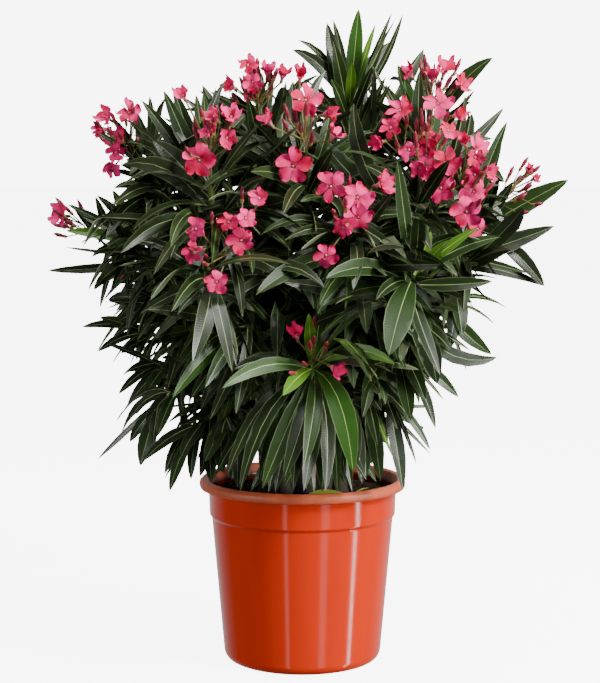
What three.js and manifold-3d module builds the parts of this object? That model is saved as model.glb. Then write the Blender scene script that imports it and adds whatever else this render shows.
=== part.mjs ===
// A potted oleander: a plastic nursery pot filled with potting soil, six woody stems that rise from the soil,
// boughs that leave the stems, and masses of foliage in which whorls of narrow leaves and heads of five-petalled
// blooms stand on forking twigs. Millimetres, +Z up, the origin at the centre of the pot's flat underside.
import * as THREE from "three";
import { mergeVertices } from "three/addons/utils/BufferGeometryUtils.js";
import Module from "manifold-3d";

const wasm = await Module();
wasm.setup();

// ---------------------------------------------------------------- driving dimensions
const GAP = 0.3; // clear space between neighbouring solids
const UP = new THREE.Vector3(0, 0, 1);

const POT = {
  height: 210,
  rimRadius: 118,
  lipDrop: 11.5, // height of the turned-over lip
  bandRadius: 107.5, // outside, just under the lip
  stepHeight: 168, // where the band steps in to the tapered body
  bodyRadius: 104, // outside, just under the step
  heelRadius: 90.5, // outside, at the top of the rounded heel
  heelHeight: 12,
  footRadius: 81, // the flat that the pot stands on
  wall: 2.4,
  drainHoles: 6,
  drainRadius: 5.5,
  drainCircle: 62,
  sides: 28,
};
const SOIL_LEVEL = 191;

const STEM = { footRadius: 8, tipRadius: 4.2, flare: 1.45, sides: 7, rings: 6 };
const BOUGH = { baseRadius: 4.6, tipRadius: 3.4, sides: 5, rings: 4 };
// fan: the least tilt of a side twig from the leading one, in radians
const TWIG = { baseRadius: 4.2, tipRadius: 3, length: 58, fan: 0.8 };

const LEAF = {
  length: 128,
  width: 36,
  keel: 3, // depth of the midrib under the blade near the stalk
  fold: 0.14, // how far the edges rise, as a share of the half width
  rootOffset: 1.1, // from the twig's middle line
  sunk: 1.2, // how far the root point lies behind the leaf's start
  sharedVolume: 2.5, // mm3 that a root may share with its twig; two crossing blades share more
};
const BLOOM = { radius: 22, notch: 0.5, depth: 33, throat: 5, sunk: 1.5, sharedVolume: 400 };

// The whorls of three leaves on a twig: where the highest one stands, as a share of the twig's length, how
// far apart they are, how wide the highest one opens, in radians, and how much wider each lower one does.
const WHORLS = { highest: 0.92, apart: 0.32, opening: 0.5, wider: 0.34, onLeadingTwig: 3, onSideTwig: 2 };

// Shares of a leaf's wished length, and turns about its twig, that are tried until the leaf has room.
const SHORTER = [1, 0.84, 0.7, 0.6];
const SHIFTS = [0, 0.3, -0.3, 0.6, -0.6];

// Each mass of foliage: where its twigs fan out, the way that its leading twig points, how many twigs it has,
// how many blooms stand on the leading twig, and how strongly its leaves hang (0 stiff, 1 limp).
const MASSES = {
  crown_tip: { at: [50, 0, 572], aim: [0.05, 0, 1], twigs: 3, blooms: 0, hang: 0.05 },
  top_left: { at: [-42, -8, 545], aim: [-0.1, -0.1, 1], twigs: 3, blooms: 3, hang: 0.3 },
  top_right: { at: [134, 5, 548], aim: [0.2, 0, 1], twigs: 3, blooms: 3, hang: 0.3 },
  centre_head: { at: [5, -85, 510], aim: [0, -0.35, 1], twigs: 3, blooms: 3, hang: 0.35 },
  left_shoulder: { at: [-150, -5, 518], aim: [-0.5, 0, 0.85], twigs: 3, blooms: 3, hang: 0.4 },
  left_front: { at: [-98, -95, 498], aim: [0, -0.45, 0.9], twigs: 3, blooms: 3, hang: 0.4 },
  left_arm: { at: [-168, -18, 455], aim: [-0.93, -0.05, 0.36], twigs: 2, blooms: 2, hang: 0.45 },
  left_face: { at: [-100, -122, 425], aim: [0.05, -0.8, 0.55], twigs: 3, blooms: 3, hang: 0.8 },
  front_head: { at: [48, -125, 455], aim: [0, -0.62, 0.78], twigs: 3, blooms: 4, hang: 0.5 },
  right_front: { at: [120, -90, 495], aim: [0.1, -0.4, 0.9], twigs: 3, blooms: 4, hang: 0.35 },
  right_shoulder: { at: [160, -55, 455], aim: [0.4, -0.45, 0.75], twigs: 3, blooms: 4, hang: 0.4 },
  right_arm: { at: [152, 12, 466], aim: [0.88, 0.02, 0.42], twigs: 3, blooms: 0, hang: 0.35 },
  right_face: { at: [106, -145, 424], aim: [0.15, -0.82, 0.5], twigs: 3, blooms: 0, hang: 0.6 },
  right_low: { at: [126, -45, 390], aim: [0.8, -0.35, 0], twigs: 3, blooms: 0, hang: 0.9 },
  front_tuft: { at: [10, -122, 330], aim: [0, -0.9, 0.4], twigs: 3, blooms: 2, hang: 0.9 },
  left_low: { at: [-125, -30, 370], aim: [-0.8, -0.3, 0], twigs: 3, blooms: 0, hang: 0.9 },
  left_skirt: { at: [-88, -66, 300], aim: [-0.7, -0.5, -0.25], twigs: 3, blooms: 0, hang: 1 },
  right_skirt: { at: [86, -58, 298], aim: [0.7, -0.45, -0.3], twigs: 3, blooms: 0, hang: 1 },
  left_middle: { at: [-46, -118, 392], aim: [-0.2, -0.9, 0.1], twigs: 3, blooms: 0, hang: 1 },
  back_top_left: { at: [-78, 80, 505], aim: [-0.2, 0.4, 0.9], twigs: 3, blooms: 3, hang: 0.4 },
  back_top_right: { at: [98, 85, 500], aim: [0.2, 0.45, 0.87], twigs: 3, blooms: 3, hang: 0.4 },
  back_left: { at: [-130, 75, 425], aim: [-0.75, 0.5, 0.4], twigs: 2, blooms: 2, hang: 0.6 },
  back_right: { at: [135, 80, 418], aim: [0.75, 0.55, 0.4], twigs: 2, blooms: 2, hang: 0.6 },
  back_face: { at: [8, 125, 420], aim: [0, 0.85, 0.5], twigs: 2, blooms: 3, hang: 0.6 },
  back_left_skirt: { at: [-70, 80, 312], aim: [-0.5, 0.7, -0.25], twigs: 2, blooms: 0, hang: 1 },
  back_right_skirt: { at: [66, 80, 312], aim: [0.55, 0.7, -0.25], twigs: 2, blooms: 0, hang: 1 },
};

// How far the crown reaches from the middle of the pot, and how low its leaves hang. Low down it is no wider
// than a cone round the pot, given by its radius at a level and how much that grows with height.
const CROWN = { left: -297, right: 309, front: -285, back: 285, low: 196, top: 742 };
const CROWN_FOOT = { radius: 137, level: 225, spread: 0.68 };

// Each stem: where it leaves the soil, the mass at its tip, and its boughs, each with the mass that it
// carries and the share of the stem's length at which it leaves.
const STEMS = {
  stem_centre: {
    foot: [6, 4],
    leads: "crown_tip",
    boughs: { top_left: 0.66, top_right: 0.72, centre_head: 0.56, back_top_right: 0.48 },
  },
  stem_left: {
    foot: [-40, -2],
    leads: "left_shoulder",
    boughs: { left_arm: 0.66, back_left: 0.5, left_low: 0.42 },
  },
  stem_right: {
    foot: [42, 2],
    leads: "right_shoulder",
    boughs: { right_arm: 0.7, back_right: 0.52, right_low: 0.42 },
  },
  stem_front_left: {
    foot: [-20, -40],
    leads: "left_face",
    boughs: { left_front: 0.6, left_middle: 0.45, left_skirt: 0.25 },
  },
  stem_front_right: {
    foot: [24, -40],
    leads: "right_face",
    boughs: { right_front: 0.6, front_head: 0.5, front_tuft: 0.33, right_skirt: 0.22 },
  },
  stem_back: {
    foot: [0, 44],
    leads: "back_face",
    boughs: { back_top_left: 0.55, back_right_skirt: 0.32, back_left_skirt: 0.24 },
  },
};
const STALK_LENGTH = 26; // the part of a mass's own stem below its fan of twigs
const CELL = { out: 55, drop: 40 }; // from the fan to the middle of a mass's space: along its aim, and down

// ---------------------------------------------------------------- solids and meshes

// A closed three.js geometry as a manifold solid whose faces point outwards.
function solidOf(geometry) {
  const bare = new THREE.BufferGeometry();
  bare.setAttribute("position", geometry.getAttribute("position"));
  if (geometry.index) bare.setIndex(geometry.index);
  const merged = mergeVertices(bare, 1e-3);
  const corners = merged.index.array;
  const triVerts = [];
  for (let i = 0; i < corners.length; i += 3) {
    const [a, b, c] = corners.slice(i, i + 3);
    if (a !== b && b !== c && a !== c) triVerts.push(a, b, c);
  }
  const build = (triangles) =>
    new wasm.Manifold(
      new wasm.Mesh({
        numProp: 3,
        vertProperties: merged.attributes.position.array,
        triVerts: new Uint32Array(triangles),
      }),
    );
  const solid = build(triVerts);
  return solid.volume() < 0 ? build(triVerts.reverse()) : solid;
}

// A manifold solid as a named mesh.
function meshOf(name, solid, material) {
  const { vertProperties, triVerts } = solid.getMesh();
  const geometry = new THREE.BufferGeometry();
  geometry.setAttribute("position", new THREE.BufferAttribute(vertProperties, 3));
  geometry.setIndex(new THREE.BufferAttribute(triVerts, 1));
  geometry.computeVertexNormals();
  const mesh = new THREE.Mesh(geometry, material);
  mesh.name = name;
  return mesh;
}

// The largest body of a solid, without loose scraps.
function mainBody(solid) {
  return solid.decompose().reduce((a, b) => (b.volume() > a.volume() ? b : a));
}

// A geometry from points and the triangles between them.
function geometryFrom(points, triangles) {
  const geometry = new THREE.BufferGeometry().setFromPoints(points);
  geometry.setIndex(triangles);
  return geometry;
}

// The skin over rings of equal size, closed by a flat face or by a point at each end.
function skinOver(rings) {
  const points = rings.flat();
  const triangles = [];
  let start = 0;
  for (let k = 0; k + 1 < rings.length; k++) {
    const here = rings[k].length;
    const next = rings[k + 1].length;
    const after = start + here;
    const count = Math.max(here, next);
    for (let i = 0; i < count; i++) {
      const j = (i + 1) % count;
      if (here > 1) triangles.push(start + i, start + j, after + (next > 1 ? j : 0));
      if (next > 1) triangles.push(start + (here > 1 ? i : 0), after + j, after + i);
    }
    start = after;
  }
  for (let i = 1; i + 1 < rings[0].length; i++) triangles.push(0, i + 1, i);
  for (let i = 1; i + 1 < rings.at(-1).length; i++) triangles.push(start, start + i, start + i + 1);
  return solidOf(geometryFrom(points, triangles));
}

// A solid of revolution about Z from [radius, height] pairs that start and end on the axis.
function turned(profile, sides) {
  const points = profile.map(([r, z]) => new THREE.Vector2(r, z));
  return solidOf(new THREE.LatheGeometry(points, sides).rotateX(Math.PI / 2));
}

const vector = ([x, y, z]) => new THREE.Vector3(x, y, z);
const unit = (v) => v.clone().normalize();
const along = (from, direction, distance) => from.clone().addScaledVector(direction, distance);

// A unit vector square to an axis, at a turn about it; zero turn is as near to straight up as can be.
function squareTo(axis, turn) {
  const helper = Math.abs(axis.z) > 0.95 ? new THREE.Vector3(1, 0, 0) : UP;
  const level = new THREE.Vector3().crossVectors(helper, axis).normalize();
  return new THREE.Vector3().crossVectors(axis, level).applyAxisAngle(axis, turn);
}

// A direction tilted away from an axis, at a turn about it.
function tilted(axis, tilt, turn) {
  const turned = axis.clone().multiplyScalar(Math.cos(tilt));
  return unit(turned.addScaledVector(squareTo(axis, turn), Math.sin(tilt)));
}

// Even draws between 0 and 1 that are the same on every run.
function drawsFrom(seed) {
  let state = Math.imul(seed + 1, 2654435761) >>> 0;
  return () => {
    state = (Math.imul(state, 1664525) + 1013904223) >>> 0;
    return state / 4294967296;
  };
}

// ---------------------------------------------------------------- pot and soil

// The pot: flat foot, rounded heel, tapered body, a step out to the band, and a turned-over lip.
function makePot() {
  const { height, rimRadius, lipDrop, bandRadius, stepHeight, bodyRadius, heelRadius, heelHeight } = POT;
  const { footRadius, wall } = POT;
  const heel = [0.3, 0.6, 0.85].map((s) => {
    const angle = (s * Math.PI) / 2;
    return [
      footRadius + (heelRadius - footRadius) * Math.sin(angle),
      heelHeight * (1 - Math.cos(angle)),
    ];
  });
  const outside = [
    [0, 0],
    [footRadius, 0],
    ...heel,
    [heelRadius, heelHeight],
    [bodyRadius, stepHeight - 3],
    [bandRadius - 1, stepHeight],
    [bandRadius, height - lipDrop],
    [rimRadius - 1.5, height - lipDrop],
    [rimRadius, height - lipDrop + 2],
    [rimRadius, height - 4],
    [rimRadius - 2, height - 1],
    [rimRadius - 5, height],
    [rimRadius - 8, height - 1],
  ];
  return turned([...outside, ...potInside(wall)], POT.sides);
}

// The inner face of the pot from the lip down to the axis, at a distance inside the outer face.
function potInside(inset) {
  return [
    [POT.bandRadius - inset, POT.height - POT.lipDrop],
    [POT.bandRadius - 1 - inset, POT.stepHeight],
    [POT.bodyRadius - inset, POT.stepHeight - 3],
    [POT.heelRadius - inset, POT.heelHeight],
    [POT.footRadius - inset / 2, inset],
    [0, inset],
  ];
}

function drainedPot() {
  let pot = makePot();
  for (let i = 0; i < POT.drainHoles; i++) {
    const angle = (2 * Math.PI * i) / POT.drainHoles;
    const drill = new THREE.CylinderGeometry(POT.drainRadius, POT.drainRadius, 4 * POT.wall, 10);
    drill.rotateX(Math.PI / 2);
    drill.translate(POT.drainCircle * Math.cos(angle), POT.drainCircle * Math.sin(angle), 0);
    pot = pot.subtract(solidOf(drill));
  }
  return pot;
}

// The soil fills the pot up to its level, clear of the wall.
function makeSoil() {
  const wallFace = potInside(POT.wall + GAP);
  const share = (SOIL_LEVEL - POT.stepHeight) / (POT.height - POT.lipDrop - POT.stepHeight);
  const edge = THREE.MathUtils.lerp(wallFace[1][0], wallFace[0][0], share);
  return turned([[0, SOIL_LEVEL], [edge, SOIL_LEVEL], ...wallFace.slice(1)], POT.sides);
}

// ---------------------------------------------------------------- stems and boughs

// A tapering limb along a curve, with flat ends. radiusAt gives its radius at a share of its length.
function limb(curve, radiusAt, sides, rings) {
  const frames = curve.computeFrenetFrames(rings);
  const sections = [];
  for (let k = 0; k <= rings; k++) {
    const centre = curve.getPointAt(k / rings);
    const radius = radiusAt(k / rings);
    sections.push(
      Array.from({ length: sides }, (_, i) => {
        const angle = (2 * Math.PI * i) / sides;
        return centre
          .clone()
          .addScaledVector(frames.normals[k], radius * Math.cos(angle))
          .addScaledVector(frames.binormals[k], radius * Math.sin(angle));
      }),
    );
  }
  return skinOver(sections);
}

const entryOf = (mass) => along(vector(mass.at), unit(vector(mass.aim)), -STALK_LENGTH);

// A stem leans out from its foot and then turns to the way that its mass points.
function stemCurve({ foot, leads }) {
  const start = new THREE.Vector3(foot[0], foot[1], SOIL_LEVEL + GAP);
  const mass = MASSES[leads];
  const end = along(entryOf(mass), unit(vector(mass.aim)), -GAP);
  const reach = start.distanceTo(end);
  return new THREE.CubicBezierCurve3(
    start,
    along(start, UP, 0.3 * reach),
    along(end, unit(vector(mass.aim)), -0.3 * reach),
    end,
  );
}

// A bough leaves the stem's middle line at an angle and ends where it enters its mass.
function boughCurve(stem, share, massName) {
  const start = stem.getPointAt(share);
  const mass = MASSES[massName];
  const aim = unit(vector(mass.aim));
  const end = along(entryOf(mass), aim, -GAP);
  const reach = start.distanceTo(end);
  const towards = unit(end.clone().sub(start));
  const leave = unit(stem.getTangentAt(share).multiplyScalar(0.35).add(towards));
  return new THREE.CubicBezierCurve3(
    start,
    along(start, leave, 0.35 * reach),
    along(end, aim, -0.3 * reach),
    end,
  );
}

// The stem's radius at a share of its length: a flare at the foot, then an even taper.
function stemRadius(share) {
  const flare = 1 + (STEM.flare - 1) * Math.max(0, 1 - share / 0.1) ** 2;
  return flare * THREE.MathUtils.lerp(STEM.footRadius, STEM.tipRadius, share);
}

const boughRadius = (share) => THREE.MathUtils.lerp(BOUGH.baseRadius, BOUGH.tipRadius, share);

function makeLimbs() {
  const limbs = {};
  const swollen = []; // the same limbs, fatter by the gap, for keeping leaves off them
  const fatten = (radiusAt) => (share) => radiusAt(share) + 3 * GAP;
  for (const [stemName, stem] of Object.entries(STEMS)) {
    const curve = stemCurve(stem);
    limbs[stemName] = limb(curve, stemRadius, STEM.sides, STEM.rings);
    const around = limb(curve, fatten(stemRadius), STEM.sides, STEM.rings);
    swollen.push(around);
    for (const [massName, share] of Object.entries(stem.boughs)) {
      const branch = boughCurve(curve, share, massName);
      const whole = limb(branch, boughRadius, BOUGH.sides, BOUGH.rings);
      limbs["bough_" + massName] = mainBody(whole.subtract(around));
      swollen.push(limb(branch, fatten(boughRadius), BOUGH.sides, BOUGH.rings));
    }
  }
  return { limbs, swollen: wasm.Manifold.union(swollen) };
}

// ---------------------------------------------------------------- leaves and blooms

// A leaf's middle line: it starts the way that it leaves the twig and bends down as it goes.
function leafLine(root, way, length, hang) {
  const steps = 12;
  const line = [root];
  for (let k = 0; k < steps; k++) {
    const heading = unit(way.clone().addScaledVector(UP, (-1.9 * hang * (k + 0.5)) / steps));
    line.push(along(line.at(-1), heading, length / steps));
  }
  return line;
}

// A leaf blade: a root point, two three-sided sections with the midrib below, and a tip point.
function makeLeaf(root, way, axis, length, hang) {
  const line = leafLine(root, way, length, hang);
  const across = unit(new THREE.Vector3().crossVectors(way, axis));
  const section = (share, widthShare, keelShare) => {
    const k = Math.round(share * (line.length - 1));
    const heading = unit(line[k + 1].clone().sub(line[k]));
    const side = unit(across.clone().addScaledVector(heading, -across.dot(heading)));
    const top = new THREE.Vector3().crossVectors(side, heading);
    const half = (widthShare * LEAF.width * length) / LEAF.length / 2;
    const edge = along(line[k], top, LEAF.fold * half);
    return [along(edge, side, half), along(line[k], top, -LEAF.keel * keelShare), along(edge, side, -half)];
  };
  return {
    points: line,
    solid: skinOver([
      [along(root, way, -LEAF.sunk)],
      section(0.25, 0.72, 1),
      section(0.6, 0.94, 0.7),
      [line.at(-1)],
    ]),
  };
}

// A five-petalled bloom: a star of petals, cupped at the mouth, over a funnel that narrows down to the twig.
function makeBloom(root, way, turn) {
  const mouth = along(root, way, BLOOM.depth);
  const side = squareTo(way, turn);
  const rim = Array.from({ length: 10 }, (_, i) => {
    const petal = i % 2 === 0;
    const radius = petal ? BLOOM.radius : BLOOM.notch * BLOOM.radius;
    const out = side.clone().applyAxisAngle(way, (i * Math.PI) / 5);
    return along(along(mouth, out, radius), way, petal ? 2 : 0);
  });
  return skinOver([[along(root, way, -BLOOM.sunk)], rim, [along(mouth, way, -BLOOM.throat)]]);
}

// A straight three-sided twig between two points.
function straightTwig(from, to, radiusFrom, radiusTo) {
  const axis = unit(to.clone().sub(from));
  const ring = (centre, radius) =>
    [0, 1, 2].map((i) => along(centre, squareTo(axis, (i * 2 * Math.PI) / 3), radius));
  return skinOver([ring(from, radiusFrom), ring(to, radiusTo)]);
}

// ---------------------------------------------------------------- masses of foliage

// The middle of each mass's own space: out along its leading twig, and lower the more its leaves hang.
const centres = Object.fromEntries(
  Object.entries(MASSES).map(([name, { at, aim, hang }]) => {
    const out = along(vector(at), unit(vector(aim)), CELL.out);
    return [name, along(out, UP, -CELL.drop * hang)];
  }),
);

// Whether every point is nearer to its own mass's centre than to any other's, by more than the gap.
function inOwnSpace(name, points) {
  const own = centres[name];
  return Object.entries(centres).every(([other, centre]) => {
    if (other === name) return true;
    const apart = own.distanceTo(centre);
    return points.every(
      (p) => (p.distanceToSquared(centre) - p.distanceToSquared(own)) / (2 * apart) > 2 * GAP,
    );
  });
}

function cornersOf(solid) {
  const { vertProperties } = solid.getMesh();
  const points = [];
  for (let i = 0; i < vertProperties.length; i += 3) points.push(vector(vertProperties.subarray(i, i + 3)));
  return points;
}

const overlap = (a, b) => a.intersect(b).volume();
const clearOfPot = (p) => p.z > POT.height + 1 || Math.hypot(p.x, p.y) > POT.rimRadius + 1;
const withinCrown = (p) =>
  Math.hypot(p.x, p.y) < CROWN_FOOT.radius + CROWN_FOOT.spread * (p.z - CROWN_FOOT.level) &&
  p.x > CROWN.left &&
  p.x < CROWN.right &&
  p.y > CROWN.front &&
  p.y < CROWN.back &&
  p.z > CROWN.low &&
  p.z < CROWN.top;

// One mass: a stalk that meets its bough, a fan of twigs, whorls of three leaves and a head of blooms.
function makeMass(name, index, limbSpace) {
  const mass = MASSES[name];
  const draw = drawsFrom(index);
  const head = vector(mass.at);
  const aim = unit(vector(mass.aim));
  let whole = straightTwig(entryOf(mass), along(head, aim, 2), TWIG.baseRadius - 0.6, TWIG.baseRadius);

  const hasRoom = (solid, shared) => {
    const corners = cornersOf(solid);
    return (
      corners.every((p) => clearOfPot(p) && withinCrown(p)) &&
      inOwnSpace(name, corners) &&
      overlap(solid, limbSpace) === 0 &&
      overlap(solid, whole) < shared
    );
  };
  const addIfRoom = (solid, shared) => {
    const room = hasRoom(solid, shared);
    if (room) whole = whole.add(solid);
    return room;
  };

  const addLeaf = (joint, way, opening, turn, wish, hang) =>
    SHORTER.some((shorter) =>
      SHIFTS.some((shift) => {
        const out = tilted(way, opening + 0.2 * Math.abs(shift), turn + shift);
        const root = along(joint, squareTo(way, turn + shift), LEAF.rootOffset);
        const leaf = makeLeaf(root, out, way, wish * shorter, hang);
        return inOwnSpace(name, leaf.points) && addIfRoom(leaf.solid, LEAF.sharedVolume);
      }),
    );

  for (let t = 0; t < mass.twigs; t++) {
    const leading = t === 0;
    const tilt = leading ? 0 : TWIG.fan + 0.35 * draw();
    const way = tilted(aim, tilt, (t - 1) * Math.PI + 0.6 * draw() + 1.2 * index);
    const length = TWIG.length * (leading ? 1 : 0.75 + 0.25 * draw());
    const tip = along(head, way, length);
    const twig = straightTwig(along(head, way, -1), tip, TWIG.baseRadius, TWIG.tipRadius);
    if (!addIfRoom(twig, Infinity)) continue;

    const blooms = leading ? mass.blooms : 0;
    for (let b = 0; b < blooms; b++) {
      const out = tilted(way, b === 0 ? 0.2 : 0.8, b * 2.1 + 0.4 * draw());
      addIfRoom(makeBloom(tip, out, draw()), BLOOM.sharedVolume);
    }

    const whorls = leading ? WHORLS.onLeadingTwig : WHORLS.onSideTwig;
    for (let w = 0; w < whorls; w++) {
      const joint = along(head, way, (WHORLS.highest - WHORLS.apart * w) * length);
      const opening = WHORLS.opening + WHORLS.wider * w + 0.2 * mass.hang;
      for (let i = 0; i < 3; i++) {
        const turn = (i * 2 * Math.PI) / 3 + (w * Math.PI) / 3 + 0.5 * draw();
        const wish = LEAF.length * (0.86 + 0.28 * draw());
        addLeaf(joint, way, opening, turn, wish, mass.hang * (0.55 + 0.3 * w));
      }
    }
  }
  return mainBody(whole);
}

// ---------------------------------------------------------------- the plant

const material = (color, roughness) => new THREE.MeshStandardMaterial({ color, roughness, metalness: 0 });
const plastic = material(0xc94a16, 0.3);
const peat = material(0x2a211b, 0.95);
const bark = material(0x6f6450, 0.85);
const foliage = material(0x31472a, 0.5);

const plant = new THREE.Group();
plant.add(meshOf("pot", drainedPot(), plastic), meshOf("soil", makeSoil(), peat));

const { limbs, swollen } = makeLimbs();
for (const [name, solid] of Object.entries(limbs)) plant.add(meshOf(name, solid, bark));

Object.keys(MASSES).forEach((name, index) => {
  plant.add(meshOf("foliage_" + name, makeMass(name, index, swollen), foliage));
});

export default plant;
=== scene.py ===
"""A potted oleander in its nursery pot.

Metres, +Z up, the origin at the centre of the pot's flat underside, and -Y towards the viewer.
"""

import math

import bpy
import numpy as np
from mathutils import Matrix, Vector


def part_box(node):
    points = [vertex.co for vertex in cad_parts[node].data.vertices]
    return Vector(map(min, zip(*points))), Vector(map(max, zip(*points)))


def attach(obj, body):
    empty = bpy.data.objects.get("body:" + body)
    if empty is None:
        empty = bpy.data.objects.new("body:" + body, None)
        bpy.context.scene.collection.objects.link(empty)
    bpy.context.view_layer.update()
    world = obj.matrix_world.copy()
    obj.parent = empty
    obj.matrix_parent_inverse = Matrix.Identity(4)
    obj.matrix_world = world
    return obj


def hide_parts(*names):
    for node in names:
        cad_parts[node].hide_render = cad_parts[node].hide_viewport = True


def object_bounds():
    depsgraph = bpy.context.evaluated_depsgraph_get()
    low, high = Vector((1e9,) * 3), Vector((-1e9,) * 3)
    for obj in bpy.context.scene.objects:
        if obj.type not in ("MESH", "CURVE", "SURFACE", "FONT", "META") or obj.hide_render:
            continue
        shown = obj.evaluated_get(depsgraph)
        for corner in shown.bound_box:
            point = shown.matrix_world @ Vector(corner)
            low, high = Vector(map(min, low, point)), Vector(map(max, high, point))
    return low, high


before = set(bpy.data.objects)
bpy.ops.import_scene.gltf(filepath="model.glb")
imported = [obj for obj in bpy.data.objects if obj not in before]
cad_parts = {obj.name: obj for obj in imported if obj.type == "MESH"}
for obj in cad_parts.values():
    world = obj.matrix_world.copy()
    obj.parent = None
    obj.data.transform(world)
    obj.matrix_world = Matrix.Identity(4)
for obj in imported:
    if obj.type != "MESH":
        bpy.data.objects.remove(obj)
solid_low, solid_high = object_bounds()


# ------------------------------------------------------------------------------------------- studio
# A matte white painted floor that runs on past the horizon, so that it meets the pale surroundings
# without an edge. Soft boxes hang round the plant: a large one high on the right, weaker ones low down,
# on the left and overhead, and three upright strips that draw the long highlights down the glossy pot.

CAMERA_AT = (-0.0027, -2.0, 0.558)
CAMERA_PITCH = math.radians(5.5)
CAMERA_LENS = 92.87
FLOOR_RADIUS = 60.0
FLOOR_SIDES = 96

SOFT_BOXES = {
    # name: (place, the point it faces, width, height, watts)
    "key_box": ((1.7, -1.4, 1.9), (0.0, 0.0, 0.42), 0.8, 0.8, 110.0),
    "low_box": ((2.0, -1.1, 0.45), (0.0, 0.0, 0.15), 0.4, 0.4, 36.0),
    "left_low_box": ((-2.0, -1.2, 0.3), (0.0, 0.0, 0.0), 0.5, 0.4, 17.0),
    "fill_box": ((-1.9, -1.6, 1.2), (0.0, 0.0, 0.4), 1.0, 1.4, 7.0),
    "top_box": ((0.1, -0.3, 2.5), (0.0, 0.0, 0.4), 1.0, 0.8, 42.0),
    "right_strip": ((1.7, -0.585, -0.25), (0.0, 0.0, -0.25), 0.10, 2.4, 17.0),
    "middle_strip": ((0.94, -1.77, -0.5), (0.0, 0.0, -0.5), 0.34, 2.0, 3.6),
    "left_strip": ((-0.72, -1.87, -0.6), (0.0, 0.0, -0.6), 0.12, 2.0, 2.0),
}
FRONT_LIGHT = 0.13
BACK_LIGHT = 0.75
SEEN_BRIGHTNESS = 7.5
FLOOR_GLOW = 6.8


def linear(colour):
    """An sRGB hex colour as linear red, green, blue and 1: each channel c is c / 12.92 up to 0.04045,
    and ((c + 0.055) / 1.055) ** 2.4 above it."""
    channels = [int(colour[i:i + 2], 16) / 255 for i in (1, 3, 5)]
    return (*[c / 12.92 if c <= 0.04045 else ((c + 0.055) / 1.055) ** 2.4 for c in channels], 1.0)


def add_node(tree, kind, settings=None, inputs=None):
    """A new node: settings are its own properties, and inputs are values, or sockets to link from."""
    node = tree.nodes.new(kind)
    for name, value in (settings or {}).items():
        setattr(node, name, value)
    for name, value in (inputs or {}).items():
        if isinstance(value, bpy.types.NodeSocket):
            tree.links.new(value, node.inputs[name])
        else:
            node.inputs[name].default_value = value
    return node


def new_material(name):
    """An empty node material, its tree, and its shader linked to its output."""
    material = bpy.data.materials.new(name)
    material.use_nodes = True
    tree = material.node_tree
    tree.nodes.clear()
    shader = add_node(tree, "ShaderNodeBsdfPrincipled")
    add_node(tree, "ShaderNodeOutputMaterial", inputs={"Surface": shader.outputs["BSDF"]})
    return material, tree, shader


def aim_at(thing, place, target):
    """Puts a camera or light at a place, and turns it to look at a target."""
    direction = np.subtract(target, place)
    thing.location = place
    thing.rotation_euler = (
        math.atan2(math.hypot(direction[0], direction[1]), -direction[2]),
        0.0,
        math.atan2(-direction[0], direction[1]),
    )


camera = bpy.data.objects.new("camera", bpy.data.cameras.new("camera"))
camera.data.lens = CAMERA_LENS
camera.location = CAMERA_AT
camera.rotation_euler = (math.pi / 2 - CAMERA_PITCH, 0.0, 0.0)
bpy.context.scene.collection.objects.link(camera)
bpy.context.scene.camera = camera

for box_name, (place, target, width, height, watts) in SOFT_BOXES.items():
    light = bpy.data.lights.new(box_name, "AREA")
    light.shape = "RECTANGLE"
    light.size = width
    light.size_y = height
    light.energy = watts
    holder = bpy.data.objects.new(box_name, light)
    aim_at(holder, place, target)
    bpy.context.scene.collection.objects.link(holder)

# The surroundings are a white backdrop behind the plant and a dim room on the viewer's side. Seen straight
# on, backdrop and floor are an even pale tone.
surroundings = bpy.data.worlds.new("pale_studio")
surroundings.use_nodes = True
tree = surroundings.node_tree
looking = add_node(tree, "ShaderNodeTexCoord")
looking = add_node(tree, "ShaderNodeSeparateXYZ", inputs={"Vector": looking.outputs["Generated"]})
backdrop = add_node(
    tree,
    "ShaderNodeMapRange",
    inputs={
        "Value": looking.outputs["Y"],
        "From Min": 0.35,
        "From Max": 0.95,
        "To Min": FRONT_LIGHT,
        "To Max": BACK_LIGHT,
    },
)
seen = add_node(tree, "ShaderNodeLightPath")
brightness = add_node(
    tree,
    "ShaderNodeMix",
    {"data_type": "FLOAT"},
    {0: seen.outputs["Is Camera Ray"], 2: backdrop.outputs["Result"], 3: SEEN_BRIGHTNESS},
)
tree.nodes["Background"].inputs["Color"].default_value = linear("#ffffff")
tree.links.new(brightness.outputs[0], tree.nodes["Background"].inputs["Strength"])
bpy.context.scene.world = surroundings

# White matte floor paint: nearly no gloss, with the faintest unevenness of a rolled coat.
floor_paint, tree, shader = new_material("rolled_white_floor_paint")
place_node = add_node(tree, "ShaderNodeTexCoord")
unevenness = add_node(
    tree, "ShaderNodeTexNoise", inputs={"Vector": place_node.outputs["Object"], "Scale": 3.0}
)
coat = add_node(
    tree,
    "ShaderNodeMapRange",
    inputs={"Value": unevenness.outputs["Fac"], "To Min": 0.78, "To Max": 0.9},
)
tree.links.new(coat.outputs["Result"], shader.inputs["Roughness"])
shader.inputs["Base Color"].default_value = linear("#f7f7f6")
shader.inputs["Specular IOR Level"].default_value = 0.2
shader.inputs["Emission Color"].default_value = linear("#ffffff")
seen = add_node(tree, "ShaderNodeLightPath")
glow = add_node(
    tree, "ShaderNodeMath", {"operation": "MULTIPLY"}, {0: seen.outputs["Is Camera Ray"], 1: FLOOR_GLOW}
)
tree.links.new(glow.outputs[0], shader.inputs["Emission Strength"])

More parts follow.
